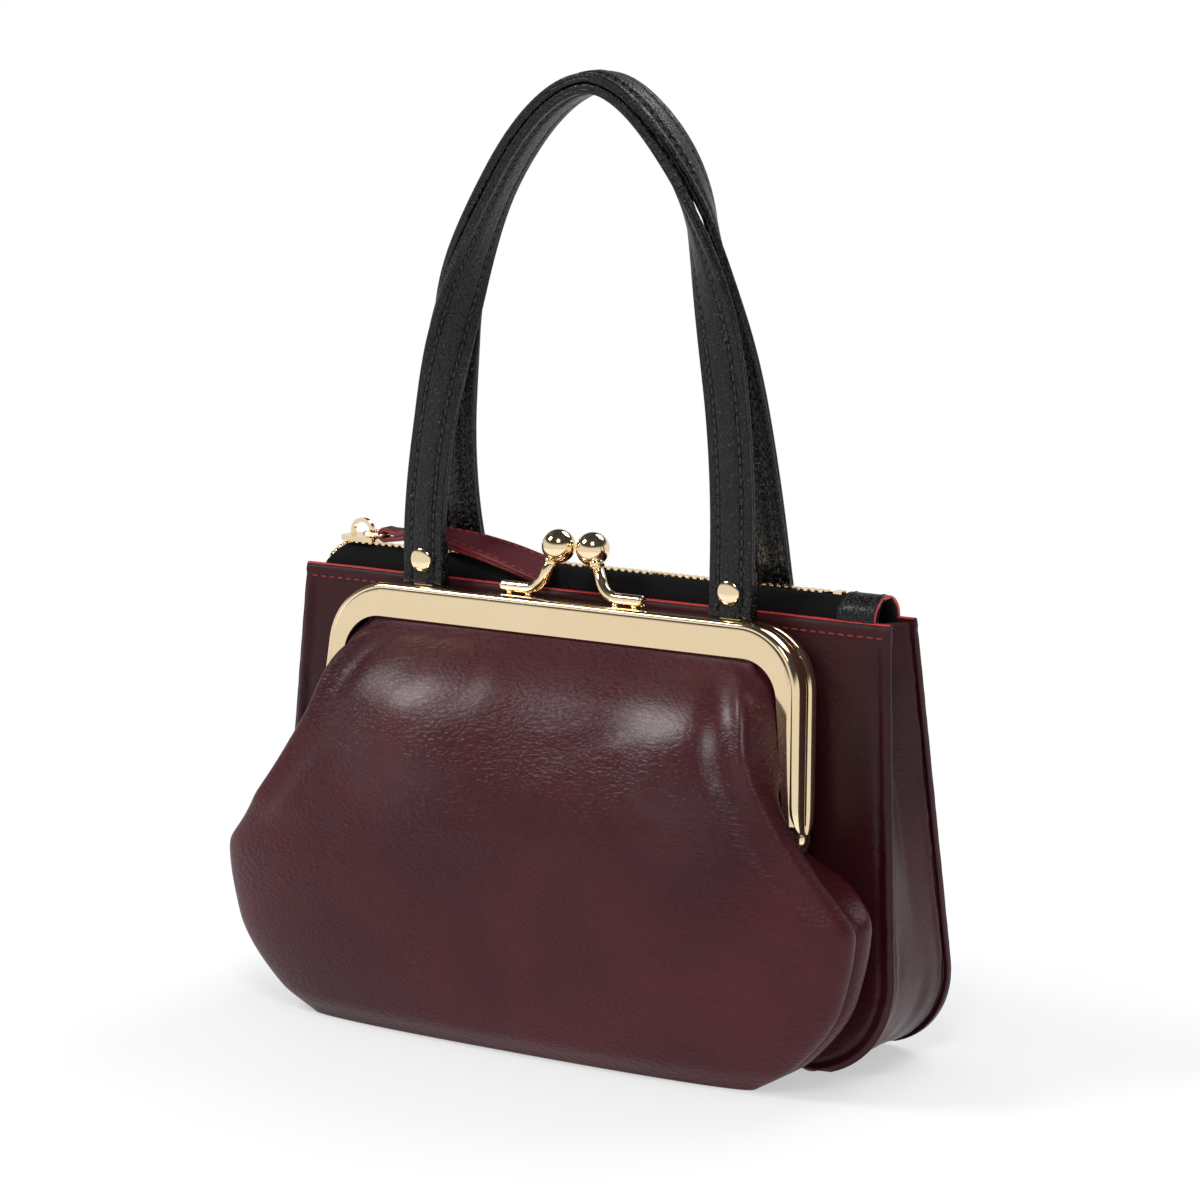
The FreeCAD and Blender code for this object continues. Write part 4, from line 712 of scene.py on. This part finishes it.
def make_zip():
    """Two tapes that arch up to the chain, the last teeth and the end tab."""
    bend, foot, wall, edge, top = -94, 132, 6.32, 1.5, CHAIN_Z + 0.45
    half = TAPE_HALF_LENGTH
    x = np.concatenate([np.linspace(-half, bend, 24), np.linspace(bend, half, 120)[1:]])
    rise = np.linspace(0, math.pi / 2, 20)[1:]
    away = np.concatenate([np.full(8, wall), edge + (wall - edge) * np.cos(rise)])
    hem = np.linspace(foot, TAPE_BASE, 8)
    arch = tape_height(TAPE_BASE + (top - TAPE_BASE) * np.sin(rise), x[:, None])
    z = np.concatenate([np.broadcast_to(hem, (len(x), 8)), arch], 1)
    for label, side in (("front", -1), ("rear", 1)):
        grid = np.stack(np.broadcast_arrays(x[:, None], MOUTH_Y + side * away, z), -1)
        tape = Shape().grid(grid, flip=side < 0)
        tape.piece("zip_tape_%s_twill" % label, [TWILL], "zip_tape", ["zip_tape_" + label], thickness=0.8)
    make_end_teeth()
    make_end_tab()


# Handles
GROOVE, EDGE_ROUND, FACE_POINTS = 4.1, 0.6, 43
NEST = 3.4
FRONT_TURNS, REAR_TURNS = ((0.22, 0.8), (0.4, 1.0)), ((0.22, 0.8), (0.32, 0.92))


def strap_profile():
    """A strap's section: a padded middle, two sewn grooves, round corners and a split edge."""
    half, thick = STRAP_WIDTH / 2, STRAP_THICKNESS / 2
    x = np.linspace(-half, half, FACE_POINTS)
    corner = np.clip(np.abs(x) - (half - EDGE_ROUND), 0, EDGE_ROUND)
    face = thick - EDGE_ROUND + np.sqrt(np.maximum(EDGE_ROUND**2 - corner**2, 0))
    face = face - 0.55 * bell(np.abs(x), GROOVE, 0.5) + 0.6 * np.clip(1 - (x / 3.7) ** 4, 0, 1)
    n = np.linspace(thick - EDGE_ROUND, EDGE_ROUND - thick, 9)[1:-1]
    side = half - 0.3 * bell(n, 0, 0.16)
    front = np.column_stack([x, face])
    right, left = np.column_stack([side, n]), np.column_stack([-side, n])[::-1]
    return np.concatenate([front, right, (front * (1, -1))[::-1], left])


def level_of(along):
    """The outward and upward direction across an arch that lies in the X and Z directions."""
    return unit(np.column_stack([-along[:, 2], 0 * along[:, 0], along[:, 0]]))


def turned(places, along, rise, turns):
    """The direction of a strap's back: backwards at the feet, outwards and up after its turn."""
    share = (places[:, 2] - FOLD_TOP) / rise
    left, right = (smoothstep(low, high, share) for low, high in turns)
    turn = np.where(places[:, 0] < 0, left, right)[:, None] * math.pi / 2
    back = np.array([0, 1, 0]) * np.cos(turn) + level_of(along) * np.sin(turn)
    return unit(back - along * np.sum(back * along, 1, keepdims=True))


def handle_lines():
    """Middle lines of both straps above their feet, each as a left and a right half up to the apex.

    x = span (1 - t^1.9)^0.55 over the height share t. On the left the rear strap lies on the front
    one's back; on the right its edge stays behind the front one's back until both lie flat.
    """
    share = 1 - (1 - np.linspace(0, 1, 200)) ** 1.8
    foot_y = PIN_Y - (FOLD_THICKNESS - STRAP_THICKNESS) / 2
    rise = HANDLE_RISE - NEST
    span = SPAN_HALF * (1 - share**1.9) ** 0.55
    right = np.column_stack([span, foot_y + 13.4 * share**1.2, FOLD_TOP + rise * share])
    left = right * (-1, 1, 1)
    along = unit(np.gradient(left, axis=0))
    along[-1] = (1, 0, 0)
    backwards, level = np.array([0, 1, 0]), level_of(along) * (-1, 1, 1)
    apart = 18.5 * np.clip(1 - share / 0.62, 0, 1) ** 1.5
    rear_left = left + turned(left, along, rise, FRONT_TURNS) * NEST + backwards * apart[:, None]
    behind = 7.4 * smoothstep(1, 0.7, share) + 14.5 * np.clip(1 - share / 0.56, 0, 1) ** 1.5
    rear_right = right + level * NEST * smoothstep(0.55, 0.9, share)[:, None] + backwards * behind[:, None]
    return (left, right), (rear_left, rear_right)


def strap_path(feet, lines, facing, rise, turns):
    """Places, directions and face normals from the left foot over the apex to the right foot."""
    halves = []
    for line, mirror in zip(lines, (1, -1)):
        half = evenly(np.concatenate([np.array(feet) * (mirror, 1, 1), line]), 190)
        halves.append(np.concatenate([half[:2], softened(half, 1.5)[2:]]))
    places = np.concatenate([halves[0], halves[1][-2::-1]])
    along = unit(np.gradient(places, axis=0))
    return places, along, facing * turned(places, along, rise, turns)


def sweep(places, along, normals, profile, thick):
    """A closed profile carried along a path; thick adds to the profile's depth behind the face."""
    across = np.cross(along, normals)
    depth = np.broadcast_to(profile[:, 1], (len(places), len(profile)))
    depth = np.where(depth < 0, depth - thick[:, None], depth)
    return places[:, None] + across[:, None] * profile[None, :, :1] + normals[:, None] * depth[..., None]


def sew_strap(places, along, normals, margin):
    """Two rows of stitches in the grooves of both faces."""
    length = distances(places)
    at = np.arange(margin, length[-1] - margin, 3.1)
    place, way, face = (picked(values, length, at) for values in (places, along, normals))
    way, face = unit(way), unit(face)
    across = np.cross(way, face)
    sewn = Shape()
    for offset in (-GROOVE, GROOVE):
        for front in (1, -1):
            rows = place + across * offset + face * front * (STRAP_THICKNESS / 2 - 0.25)
            stitches(sewn, rows, way, face * front, 2.2, 0.45)
    return sewn


def make_strap(label, body, path, fold, margin):
    """A sewn strap along a path; fold is how much thicker its folded feet are."""
    places, along, normals = path
    thick = fold * smoothstep(FOLD_TOP + 0.6, FOLD_TOP - 0.6, places[:, 2])
    strap = Shape().tube(sweep(places, along, normals, strap_profile(), thick))
    if fold:
        add_ears(strap)
    strap.piece("%s_handle_strap" % label, [BLACK], "black_leather", ["%s_handle" % label], body)
    sewn = sew_strap(places, along, normals, margin)
    sewn.piece("%s_handle_stitches" % label, [BLACK_THREAD], "black_leather", body=body)


def dome(shape, centre, axis, height):
    """A low rivet cap: radius sin(a)^0.9 outwards and height cos(a) along its axis, closed below."""
    angle = np.linspace(math.pi / 2, 0.02, 12)[:, None, None]
    side = np.array([1.0, 0, 0])
    ring = circle(36, side, np.cross(axis, side))
    shape.tube(centre + RIVET_RADIUS * np.sin(angle) ** 0.9 * ring + height * np.cos(angle) * axis)


def add_ears(strap):
    """The two ears of each fold: upright bars beside the eye, with a half round under the pin."""
    ear_half, radius = (STRAP_WIDTH - 7.8) / 4, FOLD_THICKNESS / 2
    drop = np.concatenate([[1.5, 0.5], -np.sin(np.linspace(0, math.pi / 2, 12)) * radius])
    half_depth = np.sqrt(np.maximum(radius**2 - np.minimum(drop, 0) ** 2, 0.0025))
    quarter = np.array([(-1, -0.9), (-0.9, -1), (0.9, -1), (1, -0.9)])
    corners = np.concatenate([quarter, -quarter])
    for x in [side * SPAN_HALF + ear * (STRAP_WIDTH / 2 - ear_half) for side in (-1, 1) for ear in (-1, 1)]:
        rings = [(x, PIN_Y, PIN_Z + z) + corners[:, :1] * (ear_half, 0, 0) + corners[:, 1:] * (0, depth, 0)
                 for z, depth in zip(drop, half_depth)]
        strap.tube(np.array(rings))


def make_fold_leaf(foot_y):
    """The front leaf of each fold, bent back near its top."""
    leaf = Shape()
    foot, top = 138.8, 147.5
    across, face = strap_profile()[:FACE_POINTS].T
    height = np.linspace(foot, top, 24)
    sink = 1.3 * smoothstep(144.2, 147.2, height) + 0.4 * smoothstep(139.3, foot, height)
    lean = np.minimum(height - PIN_Z, 0) * math.tan(LEAN)
    for side in (-1, 1):
        rings = []
        for z, deep, shift in zip(height, sink, lean):
            front = foot_y - face - 0.06 + deep
            behind = np.full(FACE_POINTS, foot_y - 0.58 + deep / 3)
            x = np.concatenate([across, across[::-1]]) + side * SPAN_HALF
            rings.append(np.column_stack([x, np.concatenate([front, behind]) + shift, np.full(len(x), z)]))
        leaf.tube(np.array(rings))
    leaf = leaf.piece("front_handle_fold_leaf", [BLACK], "black_leather", body=None)
    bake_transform(leaf)


def make_front_handle():
    """The front strap with its folded feet and its rivets."""
    front, _ = handle_lines()
    foot_y = front[0][0, 1]
    feet = [(-SPAN_HALF, foot_y, z) for z in np.linspace(PIN_Z + 1.6, FOLD_TOP, 12)[:-1]]
    path = strap_path(feet, front, -1, HANDLE_RISE - NEST, FRONT_TURNS)
    make_strap("front", "handle", path, FOLD_THICKNESS - STRAP_THICKNESS, 5)
    make_fold_leaf(foot_y)
    caps = Shape()
    for side in (-1, 1):
        for facing, out in ((-1, 0.72), (1, 0.1)):
            y = PIN_Y + facing * (FOLD_THICKNESS / 2 + out)
            dome(caps, np.array([side * SPAN_HALF, y, PIN_Z + 4.8]), np.array([0, facing, 0]), 1.05)
    caps.piece("front_handle_rivet_caps", [GOLD], "gold_metal", ["front_handle_rivets"], "handle")


def make_rear_handle():
    """The rear strap, riveted flat to the back panel and leaning on the front strap's back."""
    _, rear = handle_lines()
    z = np.linspace(104, 139, 14)
    feet = np.column_stack([np.full(14, -SPAN_HALF), face_y(1, z) + STRAP_THICKNESS / 2 + 0.55, z])
    make_strap("rear", "bag", strap_path(feet, rear, 1, HANDLE_RISE, REAR_TURNS), 0, 4)
    tilt = math.atan(BACK_PANEL_SLOPE)
    axis = np.array([0, math.cos(tilt), math.sin(tilt)])
    caps = Shape()
    for side in (-1, 1):
        foot = np.array([side * SPAN_HALF, face_y(1, REAR_RIVET_Z) + 0.05, REAR_RIVET_Z])
        dome(caps, foot + axis * (STRAP_THICKNESS + 0.95), axis, 1.35)
        dome(caps, foot - axis * PANEL_THICKNESS, -axis, 1.35)
    caps.piece("rear_handle_rivet_caps", [GOLD], "gold_metal", ["rear_handle_rivets"])


# Pull
# Along the pull: distance from its eye, drift forwards, drop and roll, each as a share of its most
PULL_SHARES = (
    (0.0, 0.0, 0.0, 0.0),
    (0.045, 0.0, 0.0, 0.0),
    (0.25, 0.06, -0.36, 0.04),
    (0.5, 0.38, -0.1, 0.42),
    (0.75, 0.7, 0.35, 0.72),
    (1.0, 1.0, 1.0, 1.0),
)


def make_pull():
    """One strip of leather, folded round the link and sewn to itself, that rolls over the zip's slope."""
    table = np.array(PULL_SHARES)
    share = np.linspace(1, 0.075, 70)
    drift, drop, roll = cubic(share, table[:, 0], table[:, 1:]).T
    middle = PULL_EYE + np.column_stack([67 * share, -7.3 * drift, -5.4 * drop])
    angle = math.radians(45) * roll
    wide = np.column_stack([0 * angle, np.cos(angle), np.sin(angle)])
    thick = np.column_stack([0 * angle, -np.sin(angle), np.cos(angle)])
    turn = np.radians(np.linspace(75, 285, 30))
    ring = np.column_stack([np.cos(turn), 0 * turn, np.sin(turn)])
    places = np.concatenate([middle + thick * 0.82, PULL_EYE + 1.75 * ring, (middle - thick * 0.82)[::-1]])
    face = np.concatenate([thick, ring, -thick[::-1]])
    across = np.concatenate([wide, np.broadcast_to((0, 1, 0), ring.shape), wide[::-1]])
    at = np.concatenate([share, np.zeros(30), share[::-1]])
    places, face = softened(places, 1.2), unit(softened(face, 1.2))
    half = 2.3 + 2.7 * smoothstep(0.03, 0.12, at) - 1.2 * smoothstep(0.975, 1.0, at)
    edge = np.linspace(-0.7, 0.7, 5)
    side = 1 - 0.04 * (edge / 0.7) ** 2
    flat = np.linspace(-0.93, 0.93, 9)
    right = np.concatenate([np.column_stack([flat, np.full(9, 0.76)]), np.column_stack([side, edge[::-1]])])
    profile = np.concatenate([right, -right])
    grid = places[:, None] + across[:, None] * (half[:, None] * profile[:, 0])[..., None]
    grid = grid + face[:, None] * profile[None, :, 1:]
    slots = np.zeros(len(profile), int)
    slots[8:14] = slots[22:28] = 1
    strip = Shape().tube(grid, slots)
    strip.piece("pull_leather", [PULL_BURGUNDY, WINE_EDGE], "burgundy_leather", ["pull_tab"], "pull")
    picks = np.arange(4, 62, 4)
    way = np.gradient(middle, axis=0)[picks]
    sewn = Shape()
    for offset in (-3.9, 3.9):
        row = middle + thick * 1.6 + wide * offset
        stitches(sewn, row[picks], way, thick[picks], 2.2, 0.3)
    sewn.piece("pull_stitches", [RED_THREAD], "burgundy_leather", body="pull")


# Frame rims and clasp
def frame_point(x, depth, up):
    """A point of the leaning frame, from its depth and its distance up from the hinge."""
    y = HINGE_Y + depth * math.cos(LEAN) + up * math.sin(LEAN)
    z = HINGE_Z - depth * math.sin(LEAN) + up * math.cos(LEAN)
    return np.stack(np.broadcast_arrays(x, y, z), -1)


def frame_outline(foot_half, foot, top_half, top, radius):
    """Left leg, round corner, bar, round corner and right leg of the frame's outline."""
    lean = math.atan2(foot_half - top_half, top - foot)
    reach = radius * math.tan((math.pi / 2 - lean) / 2)
    corner, start = np.array([-top_half, top]), np.array([-foot_half, foot])
    knee = corner - reach * np.array([math.sin(lean), math.cos(lean)])
    leg = start + (knee - start) * np.linspace(0, 1, 30)[:, None] ** 1.4
    angle = np.linspace(math.pi - lean, math.pi / 2, 26)[1:, None]
    centre = np.array([reach - top_half, top - radius])
    bend = centre + radius * np.concatenate([np.cos(angle), np.sin(angle)], 1)
    bar = np.column_stack([np.linspace(reach - top_half, 0, 20)[1:], np.full(19, top)])
    return mirrored(np.concatenate([leg, bend, bar]))


def make_frame_rims():
    """The rolled outer edge of each half: an oval section along the frame's outline, tapered at the feet."""
    rim_foot, rim_foot_half, taper_length = 1.5, 89.7, 9
    line = frame_outline(rim_foot_half, rim_foot, FRAME_TOP_HALF, FRAME_TOP, FRAME_CORNER)
    way = unit(np.gradient(line, axis=0))
    outward = np.column_stack([-way[:, 1], way[:, 0]])
    foot = np.clip((line[:, 1] - rim_foot) / taper_length, 0, 1)
    taper = 0.3 + 0.7 * np.sqrt(1 - (1 - foot) ** 2)
    inset = 0.75 + 0.6 * smoothstep(54, 63.5, line[:, 1])
    angle = np.arange(28) * math.tau / 28
    out = np.sign(np.cos(angle)) * np.abs(np.cos(angle)) ** 0.85
    for label, depth, reach, body in (("front", -4.1, 3.8, "front_half"), ("rear", 2.85, 2.55, "bag")):
        step = taper[:, None] * (1.6 * out - inset[:, None])
        place = line[:, None] + outward[:, None] * step[..., None]
        rings = frame_point(place[..., 0], taper[:, None] * (depth + reach * np.sin(angle)), place[..., 1])
        Shape().tube(rings).piece("%s_frame_rim" % label, [GOLD], "gold_metal", body=body)


def round_bar(shape, path, radii):
    """A round section of changing radius along a path."""
    along = unit(np.gradient(path, axis=0))
    across = unit(np.cross(along, (0, 1, 0)))
    ring = circle(20, across[:, None], np.cross(across, along)[:, None])
    return shape.tube(path[:, None] + np.asarray(radii)[:, None, None] * ring)


def make_clasp():
    """Each rod lies on two small solder beads, turns up in a bend and meets its ball in a thin collar."""
    rod_end, rod_bend, rod_up, radius = 28, 14, FRAME_TOP + 2.7, 1.8
    ball_x, ball_up, bend_reach = 5.525, 81, 5
    t = np.linspace(0, 1, 16)[:, None]
    bead_ring = circle(14, np.array([1, 0, 0]), np.array([0, 1, 0]))
    bead_radii = np.array([1.35, 1.0, 1.1])[:, None, None]
    for label, side, depth, ball_depth, body in (("front", 1, -2.78, 1.3, "front_half"),
                                                 ("rear", -1, 1.9, -1.3, "bag")):
        end = frame_point(rod_end * side, depth, rod_up)
        bend = frame_point(rod_bend * side, depth, rod_up)
        ball = frame_point(ball_x * side, ball_depth, ball_up)
        flat, rise = unit(bend - end), unit(ball - bend)
        start, finish = bend - flat * bend_reach, bend + rise * bend_reach
        turn = (1 - t) ** 2 * start + 2 * t * (1 - t) * bend + t * t * finish
        path = np.concatenate([[end, end + flat * 0.3, end + flat], turn, [ball - rise * 4.8]])
        radii = np.full(len(path), radius)
        radii[0] = radius - 0.3
        rod = round_bar(Shape(), path, radii)
        round_bar(rod, ball - rise * np.array([6.5, 6.2, 5.3, 4.7])[:, None], [1.9, 2.4, 2.4, 2.0])
        for inwards in (3.2, 10.2):
            x = side * (rod_end - inwards)
            bead = np.array([frame_point(x, depth, FRAME_TOP + h) for h in (-0.05, 0.5, 1.2)])
            rod.tube(bead[:, None] + bead_radii * bead_ring)
        rod.piece("%s_clasp_arm" % label, [GOLD], "gold_metal", ["%s_clasp_rod" % label], body)


# Metal and cords kept from the frame
METAL_NODES = (
    "front_frame", "rear_frame", "hinge_rivets", "front_clasp_ball", "rear_clasp_ball", "handle_eyes",
    "handle_pins", "zip_teeth_front", "zip_teeth_rear", "zip_bottom_stop", "zip_slider", "pull_link",
)


def dress_nodes():
    """Gives the pieces that keep their CAD shape their finish."""
    for names, material in ((METAL_NODES, GOLD), (("front_frame_cord", "rear_frame_cord"), PAPER_CORD)):
        for name in names:
            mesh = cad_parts[name].data
            mesh.materials.clear()
            mesh.materials.append(material)


# Studio
def place_item(name, data):
    """A new object in the scene."""
    item = bpy.data.objects.new(name, data)
    bpy.context.scene.collection.objects.link(item)
    item.rotation_mode = "QUATERNION"
    return item


def make_floor():
    """A pale floor that keeps the shadow and fades out before its edge."""
    g = Graph("pale_floor")
    away = g.node("ShaderNodeVectorMath", {"operation": "LENGTH"}, {0: g.place()}, "Value")
    colour = g.colour(g.noise(g.place(), 3.0, 2.0), (0.45, 0.45, 0.46, 1), (0.46, 0.46, 0.47, 1))
    g.set(Base_Color=colour, Roughness=0.6, Specular_IOR_Level=0.1, Emission_Color=(1, 1, 1, 1),
          Emission_Strength=0.5, Alpha=g.ramp(away, 0.8, 0.45))
    mesh = bpy.data.meshes.new("floor")
    mesh.from_pydata([(-6, -6, 0), (6, -6, 0), (6, 6, 0), (-6, 6, 0)], [], [(0, 1, 2, 3)])
    mesh.materials.append(g.owner)
    ground = place_item("floor", mesh)


def make_backdrop():
    """White for the camera, an even fill, and for reflections a bright horizon under a dark ceiling."""
    g = Graph("studio", True)
    bpy.context.scene.world = g.owner
    rays = g.tree.nodes.new("ShaderNodeLightPath").outputs
    kinds = ("Camera", "Transmission", "Glossy")
    camera, through, glossy = (Socket(g, rays["Is %s Ray" % kind]) for kind in kinds)

    def background(colour, strength):
        return g.node("ShaderNodeBackground", {}, {"Color": (*colour, 1), "Strength": strength})

    ceiling = 1.0 - 0.94 * g.ramp(g.axis("Z", "Generated"), 0.16, 0.42)
    fill, shine = background((0.97, 0.98, 1.0), 0.6), background((0.8, 0.8, 0.8), ceiling)
    lit = g.node("ShaderNodeMixShader", {}, {"Fac": glossy, 1: fill, 2: shine})
    seen = g.node("ShaderNodeMath", {"operation": "MAXIMUM"}, {0: camera, 1: through})
    whole = g.node("ShaderNodeMixShader", {}, {"Fac": seen, 1: lit, 2: background((1, 1, 1), 1.0)})
    g.tree.nodes.remove(g.tree.nodes["Background"])
    g.feed(g.tree.nodes["World Output"].inputs["Surface"], whole)


def area_light(name, place, width, height, power):
    """A soft box at a place in metres, facing the bag."""
    light = bpy.data.lights.new(name, "AREA")
    light.shape = "RECTANGLE"
    light.size, light.size_y = width, height
    light.energy = power
    item = place_item(name, light)
    item.location = place
    item.rotation_quaternion = (Vector((0, 0, 0.12)) - Vector(place)).to_track_quat("-Z", "Y")


def make_camera():
    """The camera of the photograph: its direction and distance from a point in the bag, in metres."""
    camera = bpy.data.cameras.new("camera")
    camera.sensor_width = 36.0
    camera.lens = 126.0
    azimuth, elevation, distance = math.radians(33), math.radians(9.9), 1.3125
    level = math.cos(elevation)
    back = Vector((math.sin(azimuth) * level, -math.cos(azimuth) * level, math.sin(elevation)))
    item = place_item("camera", camera)
    item.location = Vector((0.00745, 0.005, 0.139)) + back * distance
    item.rotation_quaternion = (-back).to_track_quat("-Z", "Y")
    bpy.context.scene.camera = item
    bpy.context.scene.view_settings.view_transform = "Standard"


make_pouch()
make_compartment()
make_zip()
make_front_handle()
make_rear_handle()
make_frame_rims()
make_clasp()
make_pull()
dress_nodes()
make_floor()
make_backdrop()
area_light("left_soft_box", (-0.93, -0.65, 1.2), 0.42, 0.42, 10.0)
area_light("right_soft_box", (0.56, -0.96, 1.3), 0.4, 0.5, 7.5)
area_light("back_soft_box", (0.2, 1.0, 1.2), 0.8, 0.6, 7.0)
make_camera()
